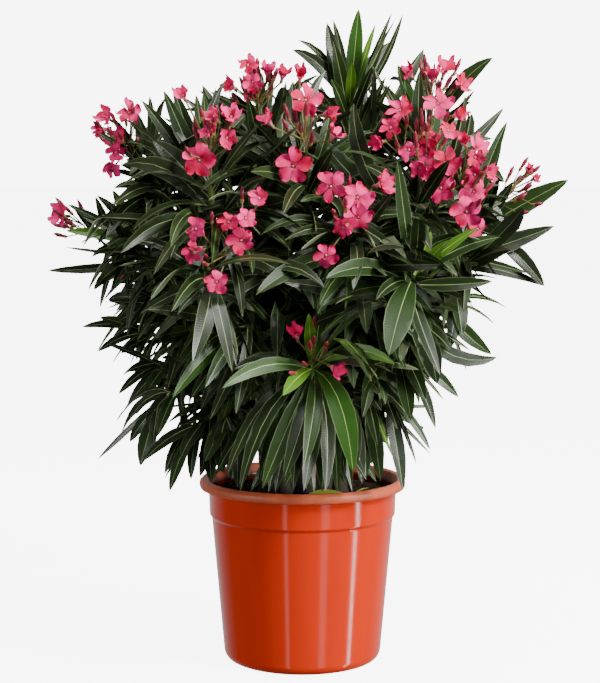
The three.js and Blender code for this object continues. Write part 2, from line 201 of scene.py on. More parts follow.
floor_mesh = bpy.data.meshes.new("floor")
rim_angle = np.linspace(0, 2 * math.pi, FLOOR_SIDES, endpoint=False)
floor_rim = np.stack([np.cos(rim_angle), np.sin(rim_angle), 0 * rim_angle], -1) * FLOOR_RADIUS
floor_mesh.from_pydata(floor_rim.tolist(), [], [list(range(FLOOR_SIDES))])
floor_mesh.materials.append(floor_paint)
floor = bpy.data.objects.new("floor", floor_mesh)
floor.visible_glossy = False
floor.visible_diffuse = False
bpy.context.scene.collection.objects.link(floor)


# ---------------------------------------------------------------------------------------------- pot
# A nursery pot injection-moulded in glossy terracotta-coloured polypropylene: a tapered body on a
# rounded heel, a step out to a plain band, and a lip turned over at the top. The lip is scuffed and
# dusty from stacking and handling, and six drain holes are moulded through the foot.

POT_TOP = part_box("pot")[1].z
POT_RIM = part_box("pot")[1].x
POT_WALL = 0.0024
LIP_DROP = 0.0115
LIP_ROLL = 0.004
LIP_CHAMFER = 0.003
LIP_DISH = 0.0012
LIP_WIDTH = 0.009
BAND_RADIUS = 0.1075
BAND_DRAFT = 0.001
STEP_HEIGHT = 0.168
STEP_RISE = 0.003
CORNER_ROUNDING = 0.0014
BODY_RADIUS = 0.104
HEEL_RADIUS = 0.0905
HEEL_HEIGHT = 0.012
FOOT_RADIUS = 0.081
DRAIN_HOLES = 6
DRAIN_RADIUS = 0.0055
DRAIN_CIRCLE = 0.062
DRAIN_SIDES = 24
DRILL_REACH = 0.01
POT_SIDES = 192


def skin_faces(count, rings, around):
    """The faces of count closed skins, each over rings * around points and then its two poles.

    Point j of ring i is number i * around + j. Quads join each ring to the next, and triangles join
    the first ring to the first pole and the last ring to the second. A ring runs right-handed about
    the way that the rings follow each other, so that every face points outwards. Returned with the
    faces is the number j of each one's first point."""
    here = np.arange(around)
    after = (here + 1) % around
    start = np.arange(rings - 1)[:, None] * around
    quads = np.stack([start + here, start + after, start + around + after, start + around + here], -1)
    last = (rings - 1) * around
    pole = np.full(around, rings * around)
    first_cap = np.stack([after, here, pole], -1)
    last_cap = np.stack([last + here, last + after, pole + 1], -1)
    shift = np.arange(count)[:, None, None] * (rings * around + 2)
    quads = (quads.reshape(1, -1, 4) + shift).reshape(-1, 4)
    triangles = (np.concatenate([first_cap, last_cap])[None] + shift).reshape(-1, 3)
    quad_column = np.tile(here, (rings - 1) * count)
    triangle_column = np.tile(here, 2 * count)
    return quads, triangles, quad_column, triangle_column


def skin_piece(name, rings, poles, materials, slot, replaced=(), columns=None, uv=None, crease=40.0):
    """A joined piece of closed skins: rings of shape (count, rings, around, 3) and poles (count, 2, 3).

    columns gives each face column's material number, and uv has a pair for each point, in the points'
    order. Edges sharper than crease degrees stay sharp, and the rest shade smoothly."""
    count, ring_count, around, _ = rings.shape
    points = np.concatenate([rings.reshape(count, -1, 3), poles], 1).reshape(-1, 3)
    quads, triangles, quad_column, triangle_column = skin_faces(count, ring_count, around)
    corners = np.concatenate([quads.ravel(), triangles.ravel()]).astype(np.int32)
    starts = np.concatenate([
        np.arange(len(quads)) * 4,
        4 * len(quads) + np.arange(len(triangles)) * 3,
    ]).astype(np.int32)
    mesh = bpy.data.meshes.new(name)
    mesh.vertices.add(len(points))
    mesh.vertices.foreach_set("co", points.astype(np.float32).ravel())
    mesh.loops.add(len(corners))
    mesh.loops.foreach_set("vertex_index", corners)
    mesh.polygons.add(len(starts))
    mesh.polygons.foreach_set("loop_start", starts)
    for material in materials:
        mesh.materials.append(material)
    if columns is not None:
        dealt = np.asarray(columns)[np.concatenate([quad_column, triangle_column])]
        mesh.polygons.foreach_set("material_index", dealt.astype(np.int32))
    mesh.update(calc_edges=True)
    mesh.polygons.foreach_set("use_smooth", np.ones(len(starts), bool))
    mesh.set_sharp_from_angle(angle=math.radians(crease))
    if uv is not None:
        layer = mesh.uv_layers.new(name="surface")
        layer.uv.foreach_set("vector", uv[corners].astype(np.float32).ravel())
    piece = bpy.data.objects.new(name, mesh)
    bpy.context.scene.collection.objects.link(piece)
    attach(piece, "root")
    if replaced:
        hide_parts(*replaced)
    return piece


def turned_skin(profile, sides):
    """A profile turned about Z: the point (r, z) of the profile goes to (r cos a, r sin a, z). Its first
    and last points lie on the axis and become the poles."""
    angle = np.linspace(0, 2 * math.pi, sides, endpoint=False)
    r, z = profile[1:-1].T
    rings = np.stack([
        np.outer(r, np.cos(angle)),
        np.outer(r, np.sin(angle)),
        np.repeat(z[:, None], sides, 1),
    ], -1)
    poles = np.array([[0, 0, profile[0][1]], [0, 0, profile[-1][1]]])
    return rings[None], poles[None]


def rounded(profile, radius, steps=5):
    """The profile with its inner corners rounded: each corner is replaced by steps points of the curve
    (1-t)^2 A + 2t(1-t) P + t^2 B, where A and B lie a radius, or a third of the side, before and after."""
    before, corner, after = profile[:-2], profile[1:-1], profile[2:]
    t = np.linspace(0, 1, steps)[None, :, None]
    reach_back = np.linalg.norm(before - corner, axis=1, keepdims=True)
    reach_on = np.linalg.norm(after - corner, axis=1, keepdims=True)
    a = corner + (before - corner) * np.minimum(radius / reach_back, 0.33)
    b = corner + (after - corner) * np.minimum(radius / reach_on, 0.33)
    arc = (1 - t) ** 2 * a[:, None] + 2 * t * (1 - t) * corner[:, None] + t ** 2 * b[:, None]
    return np.concatenate([profile[:1], arc.reshape(-1, 2), profile[-1:]])


heel_angle = np.linspace(0, math.pi / 2, 9)[1:]
heel = np.stack([
    FOOT_RADIUS + (HEEL_RADIUS - FOOT_RADIUS) * np.sin(heel_angle),
    HEEL_HEIGHT * (1 - np.cos(heel_angle)),
], -1)
outside = np.concatenate([
    [[0, 0], [FOOT_RADIUS, 0]],
    heel,
    [
        [BODY_RADIUS, STEP_HEIGHT - STEP_RISE],
        [BAND_RADIUS - BAND_DRAFT, STEP_HEIGHT],
        [BAND_RADIUS, POT_TOP - LIP_DROP],
        [POT_RIM - LIP_DISH, POT_TOP - LIP_DROP],
        [POT_RIM, POT_TOP - LIP_DROP + LIP_CHAMFER],
        [POT_RIM, POT_TOP - LIP_ROLL],
        [POT_RIM - LIP_ROLL, POT_TOP],
        [POT_RIM - LIP_WIDTH, POT_TOP - LIP_DISH],
    ],
])
inside = np.array([
    [BAND_RADIUS - POT_WALL, POT_TOP - LIP_DROP],
    [BAND_RADIUS - BAND_DRAFT - POT_WALL, STEP_HEIGHT],
    [BODY_RADIUS - POT_WALL, STEP_HEIGHT - STEP_RISE],
    [HEEL_RADIUS - POT_WALL, HEEL_HEIGHT],
    [FOOT_RADIUS - POT_WALL / 2, POT_WALL],
    [0, POT_WALL],
])
pot_profile = rounded(np.concatenate([outside, inside]), CORNER_ROUNDING)

# Polypropylene, moulded against a polished steel tool: saturated, glossy, and a little darker in long
# flow bands down the wall. Dust and scuffs leave the lip pale and nearly matt. The inside above the soil
# is darkened nearly to brown-black, partly a compost stain and partly painted shade.
polypropylene, tree, shader = new_material("moulded_glossy_polypropylene")
place_node = add_node(tree, "ShaderNodeTexCoord")
axes = add_node(tree, "ShaderNodeSeparateXYZ", inputs={"Vector": place_node.outputs["Object"]})
lip_share = add_node(
    tree,
    "ShaderNodeMapRange",
    inputs={
        "Value": axes.outputs["Z"],
        "From Min": POT_TOP - LIP_DROP - 0.0015,
        "From Max": POT_TOP - LIP_DROP + 0.0005,
    },
)
flow_place = add_node(
    tree,
    "ShaderNodeMapping",
    inputs={"Vector": place_node.outputs["Object"], "Scale": (40.0, 40.0, 1.5)},
)
flow = add_node(tree, "ShaderNodeTexNoise", inputs={"Vector": flow_place.outputs["Vector"], "Scale": 1.0})
wall_colour = add_node(
    tree,
    "ShaderNodeMix",
    {"data_type": "RGBA"},
    {0: flow.outputs["Fac"], 6: linear("#cc2b04"), 7: linear("#da3307")},
)
scuffs = add_node(
    tree,
    "ShaderNodeTexNoise",
    inputs={"Vector": place_node.outputs["Object"], "Scale": 160.0, "Detail": 6.0, "Roughness": 0.65},
)
dusty_colour = add_node(
    tree,
    "ShaderNodeMix",
    {"data_type": "RGBA"},
    {0: scuffs.outputs["Fac"], 6: linear("#b04523"), 7: linear("#cf6a45")},
)
pot_colour = add_node(
    tree,
    "ShaderNodeMix",
    {"data_type": "RGBA"},
    {0: lip_share.outputs["Result"], 6: wall_colour.outputs[2], 7: dusty_colour.outputs[2]},
)
# The darkening inside, stain and painted shade, has its edge between the two faces of the wall, so that none
# of it shows on the outside.
level_place = add_node(
    tree, "ShaderNodeCombineXYZ", inputs={"X": axes.outputs["X"], "Y": axes.outputs["Y"]}
)
off_centre = add_node(
    tree, "ShaderNodeVectorMath", {"operation": "LENGTH"}, {0: level_place.outputs["Vector"]}
)
inside_share = add_node(
    tree,
    "ShaderNodeMapRange",
    inputs={
        "Value": off_centre.outputs["Value"],
        "From Min": BAND_RADIUS - 0.0022,
        "From Max": BAND_RADIUS - 0.0014,
        "To Min": 0.8,
        "To Max": 0.0,
    },
)
above_step = add_node(
    tree,
    "ShaderNodeMapRange",
    inputs={"Value": axes.outputs["Z"], "From Min": STEP_HEIGHT, "From Max": STEP_HEIGHT + 0.001},
)
# Painted shade with a compost stain: the inside of the wall above the step is mixed up to 0.8 of the way to
# #3a2015.
painted_shade_and_stain = add_node(
    tree,
    "ShaderNodeMath",
    {"operation": "MULTIPLY"},
    {0: inside_share.outputs["Result"], 1: above_step.outputs["Result"]},
)
shaded_and_stained_colour = add_node(
    tree,
    "ShaderNodeMix",
    {"data_type": "RGBA"},
    {0: painted_shade_and_stain.outputs[0], 6: pot_colour.outputs[2], 7: linear("#3a2015")},
)
pot_roughness = add_node(
    tree,
    "ShaderNodeMapRange",
    inputs={"Value": lip_share.outputs["Result"], "To Min": 0.14, "To Max": 0.5},
)
scuff_bump = add_node(
    tree,
    "ShaderNodeBump",
    inputs={"Height": scuffs.outputs["Fac"], "Strength": 0.05, "Distance": 0.0004},
)
tree.links.new(shaded_and_stained_colour.outputs[2], shader.inputs["Base Color"])
tree.links.new(pot_roughness.outputs["Result"], shader.inputs["Roughness"])
tree.links.new(scuff_bump.outputs["Normal"], shader.inputs["Normal"])
shader.inputs["IOR"].default_value = 1.5

pot = skin_piece("nursery_pot", *turned_skin(pot_profile, POT_SIDES), [polypropylene], "pot_plastic", ["pot"])

drill_angle = np.arange(DRAIN_HOLES) * 2 * math.pi / DRAIN_HOLES
drill_centre = DRAIN_CIRCLE * np.stack([np.cos(drill_angle), np.sin(drill_angle), 0 * drill_angle], -1)
drill_rings, drill_poles = turned_skin(
    np.array([
        [0, -DRILL_REACH], [DRAIN_RADIUS, -DRILL_REACH], [DRAIN_RADIUS, DRILL_REACH], [0, DRILL_REACH],
    ]),
    DRAIN_SIDES,
)
drill = skin_piece(
    "drain_drill",
    drill_rings + drill_centre[:, None, None],
    drill_poles + drill_centre[:, None],
    [],
    "pot_plastic",
)
cut = pot.modifiers.new("drain_holes", "BOOLEAN")
cut.operation = "DIFFERENCE"
cut.solver = "EXACT"
cut.object = drill
bpy.context.view_layer.objects.active = pot
bpy.ops.object.modifier_apply(modifier=cut.name)
bpy.data.objects.remove(drill)


# --------------------------------------------------------------------------------------------- soil
# Potting compost: dark moist peat filled to two centimetres under the rim and settled by watering.
# Its top is uneven, and loose on it lie crumbs of peat and a few pale grains of perlite.

SOIL_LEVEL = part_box("soil")[1].z
SOIL_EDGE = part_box("soil")[1].x
SOIL_RELIEF = 0.0022
SOIL_WAVE = 0.024
SOIL_MARGIN = 0.005
SOIL_RINGS = 34
SOIL_SIDES = 120
SOIL_UNDERSIDE = (0.07, 0.0028)
CRUMB_COUNT = 1500
CRUMB_SIZES = (0.0012, 0.0026)
PERLITE_COUNT = 26
PERLITE_SIZES = (0.0014, 0.003)


def draws_from(seed):
    """Even draws between 0 and 1, the same on every run: x becomes (1664525 x + 1013904223) mod 2^32."""
    state = (seed + 1) * 2654435761 % 2 ** 32
    while True:
        state = (state * 1664525 + 1013904223) % 2 ** 32
        yield state / 2 ** 32


def unit(v):
    """Vectors scaled to length 1 along their last axis."""
    return v / np.linalg.norm(v, axis=-1, keepdims=True)


def unevenness_at(points, size, seed):
    """Smooth relief between about -1 and 1 at points: the mean of seven plane sine waves in scattered
    directions, whose lengths run from size down to a third of it, as sin(2 pi p . d / length + phase)."""
    chance = np.random.default_rng(seed)
    directions = unit(chance.normal(size=(7, 3)))
    lengths = size * np.linspace(1, 0.33, 7)
    phases = chance.uniform(0, 2 * math.pi, 7)
    waves = np.sin(points @ directions.T * (2 * math.pi / lengths) + phases)
    return waves.mean(-1) * 1.8


def lumps(centres, sizes, seed):
    """Small closed lumps: two rings of five points and two poles on a ball of each size, each point
    pushed in or out by up to a quarter, and the ball flattened to 0.7 of its height."""
    chance = np.random.default_rng(seed)
    angle = np.arange(5) * 2 * math.pi / 5
    height = np.array([-0.45, 0.45])[:, None] * np.ones(5)
    across = np.sqrt(1 - height ** 2)
    rings = np.stack([across * np.cos(angle), across * np.sin(angle), 0.7 * height], -1)
    rings = rings * chance.uniform(0.75, 1.25, (len(centres), 2, 5, 1))
    poles = np.array([[0, 0, -0.7], [0, 0, 0.7]]) * chance.uniform(0.8, 1.2, (len(centres), 2, 1))
    scale = sizes[:, None, None]
    return rings * scale[..., None] + centres[:, None, None], poles * scale + centres[:, None]


def soil_relief(points):
    """How far the soil's top rises or sinks at points."""
    return SOIL_RELIEF * unevenness_at(points, SOIL_WAVE, 3)


def mottled_material(name, dark, pale, roughness, grain, relief=None, stretch=None, gloss=0.5):
    """A surface whose colour drifts between two tones over a noise with the grain's settings, drawn out by
    a stretch along each axis. With a relief, its strength and depth, the noise also raises the surface."""
    material, tree, shader = new_material(name)
    place = add_node(tree, "ShaderNodeTexCoord").outputs["Object"]
    if stretch:
        place = add_node(tree, "ShaderNodeMapping", inputs={"Vector": place, "Scale": stretch}).outputs[0]
    noise = add_node(tree, "ShaderNodeTexNoise", inputs={"Vector": place, **grain})
    colour = add_node(
        tree,
        "ShaderNodeMix",
        {"data_type": "RGBA"},
        {0: noise.outputs["Fac"], 6: linear(dark), 7: linear(pale)},
    )
    tree.links.new(colour.outputs[2], shader.inputs["Base Color"])
    shader.inputs["Roughness"].default_value = roughness
    shader.inputs["Specular IOR Level"].default_value = gloss
    if relief:
        strength, depth = relief
        bump = add_node(
            tree,
            "ShaderNodeBump",
            inputs={"Height": noise.outputs["Fac"], "Strength": strength, "Distance": depth},
        )
        tree.links.new(bump.outputs["Normal"], shader.inputs["Normal"])
    return material


# Peat compost: nearly black when moist, fibrous and matt, with brown crumbs where it has dried.
peat_grain = {"Scale": 350.0, "Detail": 8.0, "Roughness": 0.7}
peat = mottled_material(
    "moist_peat_compost", "#0e0a08", "#3a2b20", 0.92, peat_grain, relief=(0.8, 0.001), gloss=0.14
)

# The soil's side follows the pot's wall from the heel to the step, and its flat top is then made uneven.
soil_profile = np.concatenate([
    [[0, SOIL_UNDERSIDE[1]], SOIL_UNDERSIDE],
    [[HEEL_RADIUS - 0.004, HEEL_HEIGHT + 0.002]],
    [[SOIL_EDGE - SOIL_MARGIN, STEP_HEIGHT - 0.004], [SOIL_EDGE - 0.0005, SOIL_LEVEL - 0.003]],
    np.stack([np.linspace(SOIL_EDGE - 0.001, 0.003, SOIL_RINGS), np.full(SOIL_RINGS, SOIL_LEVEL)], -1),
    [[0, SOIL_LEVEL]],
])
soil_rings, soil_poles = turned_skin(soil_profile, SOIL_SIDES)
soil_top = soil_rings[..., 2] > SOIL_LEVEL - 0.001
soil_rings[..., 2] += soil_top * soil_relief(soil_rings)
skin_piece("potting_soil", soil_rings, soil_poles, [peat], "soil", ["soil"])

soil_chance = np.random.default_rng(5)


def scattered_on_soil(count):
    """Points spread evenly over the soil's top: the radius is the edge times the root of a draw."""
    radius = (SOIL_EDGE - SOIL_MARGIN) * np.sqrt(soil_chance.uniform(0, 1, count))
    turn = soil_chance.uniform(0, 2 * math.pi, count)
    points = np.stack([radius * np.cos(turn), radius * np.sin(turn), np.full(count, SOIL_LEVEL)], -1)
    points[:, 2] += soil_relief(points)
    return points


crumb_places = scattered_on_soil(CRUMB_COUNT)
crumb_sizes = CRUMB_SIZES[0] + CRUMB_SIZES[1] * soil_chance.uniform(0, 1, CRUMB_COUNT) ** 2
skin_piece("peat_crumbs", *lumps(crumb_places, crumb_sizes, 6), [peat], "soil")

# Perlite: expanded volcanic glass, white and porous, stained grey-brown by the peat.
perlite = mottled_material("stained_perlite_grains", "#8d8474", "#e4ddd0", 0.9, {"Scale": 500.0})
grain_places = scattered_on_soil(PERLITE_COUNT)
grain_sizes = soil_chance.uniform(*PERLITE_SIZES, PERLITE_COUNT)
skin_piece("perlite_grains", *lumps(grain_places, grain_sizes, 8), [perlite], "soil")


# -------------------------------------------------------------------------------- stems and boughs
# Six living stems rise from the soil, grey-brown and woody at the foot and greener higher up, each
# with a slight flare at the soil and a raised ring at every old whorl of leaves. Boughs leave them
# from a swollen collar and taper to where a fan of twigs begins.

UP = np.array([0.0, 0.0, 1.0])
STALK = 0.026  # the part of a mass's own stem below its fan of twigs
STEM_RADII = (0.008, 0.0042)
STEM_FLARE = 0.45
FLARE_SHARE = 0.1
BOUGH_RADII = (0.0046, 0.0034)
COLLAR_SWELL = 0.35
COLLAR_SHARE = 0.15
WHORL_RING_SPACING = 0.021
WHORL_RING_SWELL = 0.09
FURROW_DEPTH = 0.05
FURROW_WIDTH = 0.012
FURROW_STRETCH = 0.3
STEM_BEND = (0.3, 0.3)
STEM_SUNK = 0.002
BOUGH_BEND = (0.35, 0.3)
BOUGH_FOLLOWS = 0.35  # how much a bough sets out along its stem

MASSES = {
    # name: (where its twigs start, their aim, how many, and the hang of its leaves from 0, stiff, to 1, limp)
    "crown_tip": ((0.050, 0.000, 0.572), (0.05, 0, 1), 3, 0.05),
    "top_left": ((-0.042, -0.008, 0.545), (-0.1, -0.1, 1), 3, 0.3),
    "top_right": ((0.134, 0.005, 0.548), (0.2, 0, 1), 3, 0.3),
    "centre_head": ((0.005, -0.085, 0.510), (0, -0.35, 1), 3, 0.35),
    "left_shoulder": ((-0.150, -0.005, 0.518), (-0.5, 0, 0.85), 3, 0.4),
    "left_front": ((-0.098, -0.095, 0.498), (0, -0.45, 0.9), 3, 0.4),
    "left_arm": ((-0.168, -0.018, 0.455), (-0.93, -0.05, 0.36), 2, 0.45),
    "left_face": ((-0.100, -0.122, 0.425), (0.05, -0.8, 0.55), 3, 0.8),
    "front_head": ((0.048, -0.125, 0.455), (0, -0.62, 0.78), 3, 0.5),
    "right_front": ((0.120, -0.090, 0.495), (0.1, -0.4, 0.9), 3, 0.35),
    "right_shoulder": ((0.160, -0.055, 0.455), (0.4, -0.45, 0.75), 3, 0.4),
    "right_arm": ((0.152, 0.012, 0.466), (0.88, 0.02, 0.42), 3, 0.35),
    "right_face": ((0.106, -0.145, 0.424), (0.15, -0.82, 0.5), 3, 0.6),
    "right_low": ((0.126, -0.045, 0.390), (0.8, -0.35, 0), 3, 0.9),
    "front_tuft": ((0.010, -0.122, 0.330), (0, -0.9, 0.4), 3, 0.9),
    "left_low": ((-0.125, -0.030, 0.370), (-0.8, -0.3, 0), 3, 0.9),
    "left_skirt": ((-0.088, -0.066, 0.300), (-0.7, -0.5, -0.25), 3, 1.0),
    "right_skirt": ((0.086, -0.058, 0.298), (0.7, -0.45, -0.3), 3, 1.0),
    "left_middle": ((-0.046, -0.118, 0.392), (-0.2, -0.9, 0.1), 3, 1.0),
    "back_top_left": ((-0.078, 0.080, 0.505), (-0.2, 0.4, 0.9), 3, 0.4),
    "back_top_right": ((0.098, 0.085, 0.500), (0.2, 0.45, 0.87), 3, 0.4),
    "back_left": ((-0.130, 0.075, 0.425), (-0.75, 0.5, 0.4), 2, 0.6),
    "back_right": ((0.135, 0.080, 0.418), (0.75, 0.55, 0.4), 2, 0.6),
    "back_face": ((0.008, 0.125, 0.420), (0, 0.85, 0.5), 2, 0.6),
    "back_left_skirt": ((-0.070, 0.080, 0.312), (-0.5, 0.7, -0.25), 2, 1.0),
    "back_right_skirt": ((0.066, 0.080, 0.312), (0.55, 0.7, -0.25), 2, 1.0),
}

STEMS = {
    # name: (foot, the mass at its tip, each bough's mass and the share of the stem where it leaves)
    "stem_centre": ((0.006, 0.004), "crown_tip", {
        "top_left": 0.66, "top_right": 0.72, "centre_head": 0.56, "back_top_right": 0.48,
    }),
    "stem_left": ((-0.040, -0.002), "left_shoulder", {
        "left_arm": 0.66, "back_left": 0.5, "left_low": 0.42,
    }),
    "stem_right": ((0.042, 0.002), "right_shoulder", {
        "right_arm": 0.7, "back_right": 0.52, "right_low": 0.42,
    }),
    "stem_front_left": ((-0.020, -0.040), "left_face", {
        "left_front": 0.6, "left_middle": 0.45, "left_skirt": 0.25,
    }),
    "stem_front_right": ((0.024, -0.040), "right_face", {
        "right_front": 0.6, "front_head": 0.5, "front_tuft": 0.33, "right_skirt": 0.22,
    }),
    "stem_back": ((0.0, 0.044), "back_face", {
        "back_top_left": 0.55, "back_right_skirt": 0.32, "back_left_skirt": 0.24,
    }),
}

LIMB_RINGS = 64
LIMB_SIDES = 14


def seat(mass_name):
    """Where the twigs of a mass start, and the unit direction of its aim."""
    place, aim = MASSES[mass_name][:2]
    return np.array(place), unit(np.array(aim, float))


def bent_line(start, leaving, end, arriving, bend):
    """A cubic Bezier curve from start to end as LIMB_RINGS points spaced evenly along it. Its handles lie
    the two shares in bend of the straight distance along the leaving and arriving directions."""
    distance = np.linalg.norm(end - start)
    first_handle = start + leaving * bend[0] * distance
    handles = np.array([start, first_handle, end - arriving * bend[1] * distance, end])
    t = np.linspace(0, 1, 400)[:, None]
    weights = np.concatenate([(1 - t) ** 3, 3 * t * (1 - t) ** 2, 3 * t ** 2 * (1 - t), t ** 3], 1)
    fine = weights @ handles
    travelled = np.concatenate([[0], np.cumsum(np.linalg.norm(np.diff(fine, axis=0), axis=1))])
    even = np.linspace(0, travelled[-1], LIMB_RINGS)
    return np.stack([np.interp(even, travelled, fine[:, i]) for i in range(3)], -1)


def point_on(line, share):
    """The place and the heading at a share of a line's length."""
    k = min(int(share * (len(line) - 1)), len(line) - 2)
    blend = share * (len(line) - 1) - k
    return line[k] + blend * (line[k + 1] - line[k]), unit(line[k + 1] - line[k])


def limb_skin(line, radii, seed):
    """Rings about a line: at angle a the radius is the given one times 1 + ring + furrows, where ring is a
    narrow bump at every whorl ring and furrows are shallow relief that runs along the limb."""
    heading = unit(np.gradient(line, axis=0))
    level = unit(np.cross(UP, line[-1] - line[0] + [1e-4, 0, 0]))
    side = unit(level - heading * (heading @ level)[:, None])
    other = np.cross(heading, side)
    angle = np.linspace(0, 2 * math.pi, LIMB_SIDES, endpoint=False)
    travelled = np.linalg.norm(np.diff(line, axis=0), axis=1).sum() * np.linspace(0, 1, len(line))
    ring = WHORL_RING_SWELL * np.cos(math.pi * travelled / WHORL_RING_SPACING) ** 24
    around = np.stack([np.cos(angle), np.sin(angle)], -1)
    grid = np.concatenate([
        np.broadcast_to(around * FURROW_WIDTH, (len(line), LIMB_SIDES, 2)),
        np.broadcast_to(travelled[:, None, None] * FURROW_STRETCH, (len(line), LIMB_SIDES, 1)),
    ], -1)
    furrows = FURROW_DEPTH * unevenness_at(grid, FURROW_WIDTH, seed)
    swelling = radii[:, None] * (1 + ring[:, None] + furrows)
    rings = line[:, None] + swelling[..., None] * (
        side[:, None] * around[:, :1] + other[:, None] * around[:, 1:]
    )
    return rings, np.stack([line[0], line[-1]])


def limb_radii(ends, swell, swollen_share):
    """Radii that taper evenly between two ends, times 1 + swell (1 - s / share)^2 below the swollen share."""
    s = np.linspace(0, 1, LIMB_RINGS)
    swelling = 1 + swell * np.maximum(0, 1 - s / swollen_share) ** 2
    return swelling * (ends[0] + (ends[1] - ends[0]) * s)


bough_lines = {}
stem_skins = []
bough_skins = []
for stem_number, (foot, leads, boughs) in enumerate(STEMS.values()):
    at, aim = seat(leads)
    start = np.array([*foot, SOIL_LEVEL - STEM_SUNK])
    line = bent_line(start, UP, at - aim * STALK, aim, STEM_BEND)
    stem_radii = limb_radii(STEM_RADII, STEM_FLARE, FLARE_SHARE)
    stem_skins.append(limb_skin(line, stem_radii, 20 + stem_number))
    for mass_name, share in boughs.items():
        at, aim = seat(mass_name)
        joint, heading = point_on(line, share)
        end = at - aim * STALK
        leaving = unit(BOUGH_FOLLOWS * heading + unit(end - joint))
        branch = bent_line(joint, leaving, end, aim, BOUGH_BEND)
        bough_lines[mass_name] = branch
        bough_radii = limb_radii(BOUGH_RADII, COLLAR_SWELL, COLLAR_SHARE)
        bough_skins.append(limb_skin(branch, bough_radii, 40 + len(bough_skins)))
    bough_lines[leads] = line

# Bark: thin, grey-brown and finely furrowed on old wood, with pale corky dots; green shows through on
# the younger boughs. It has almost no gloss.
bark_look = {
    "roughness": 0.8,
    "grain": {"Scale": 420.0, "Detail": 6.0},
    "relief": (0.6, 0.0006),
    "stretch": (1.0, 1.0, 0.25),
}
old_bark = mottled_material("furrowed_grey_bark", "#1e1912", "#463d30", **bark_look)
young_bark = mottled_material("green_brown_young_bark", "#2b2d19", "#53552f", **bark_look)


def stacked(skins):
    """Single skins stacked for skin_piece."""
    return np.stack([rings for rings, _ in skins]), np.stack([poles for _, poles in skins])


skin_piece("stems", *stacked(stem_skins), [old_bark], "bark", list(STEMS))
bough_nodes = [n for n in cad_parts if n.startswith("bough_")]
skin_piece("boughs", *stacked(bough_skins), [young_bark], "bark", bough_nodes)


# -------------------------------------------------------------------------------------------- twigs
# Each bough ends in a fan of green twigs, and finer side twigs fork from the bough just below the fan.
# They are this year's wood: smooth, round, green, and about as thick as a pencil's lead.

TWIG_LENGTH = 0.058
TWIG_RADII = (0.0031, 0.0019)
TWIG_SIDES = 8
TWIG_RINGS = 6
FINE_TWIGS = 2  # on a mass that aims upwards, and one on the others
FULLER = {
    # the masses with more fine twigs than that
    "left_front": 6, "left_shoulder": 6, "left_face": 5, "left_arm": 5, "back_top_left": 6, "back_left": 5,
    "top_left": 4, "centre_head": 4, "top_right": 3, "right_shoulder": 3,
}
LEAF_LENGTH = 0.128
LEAF_WIDTH = 0.0168
WHORL_HIGHEST = 0.92
WHORL_APART = 0.32
WHORL_OPENING = 0.5
WHORL_WIDER = 0.34
WHORL_HANG = (0.55, 0.3)  # the share of a mass's hang in its first whorl, and the growth per whorl
HALF_WHORL = 0.85  # the length of the leaves between the whorls and on the fine twigs, as a share
BOUGH_WHORLS = 12
BOUGH_WHORLS_APART = 0.058
INNER_HANG = 0.6
LEAF_ROLL = 1.6
LEAF_SWAY = 1.8
TONES = ("deep", "mid", "grey")  # of the leaves on the twigs; those on limbs and side shoots are "inner"

# What varies from leaf to leaf or twig to twig, as its least value and what a draw of 1 adds to it.
LEAF_LIMPNESS = (0.5, 1.0)
LEAF_BREADTH = (0.7, 0.6)
SOURCE_LEAF_LENGTH = (0.86, 0.28)
WHORL_LEAF_OPENING = (0.5, 0.8)
WHORL_LEAF_LENGTH = (0.8, 0.4)
INNER_LEAF_LENGTH = (0.8, 0.25)
INNER_OPENING = (0.8, 0.6)
SIDE_TWIG_TILT = (0.8, 0.35)
SIDE_TWIG_LENGTH = (0.75, 0.25)
FINE_TWIG_TILT = (0.6, 0.7)
FINE_TWIG_LENGTH = (0.5, 0.3)

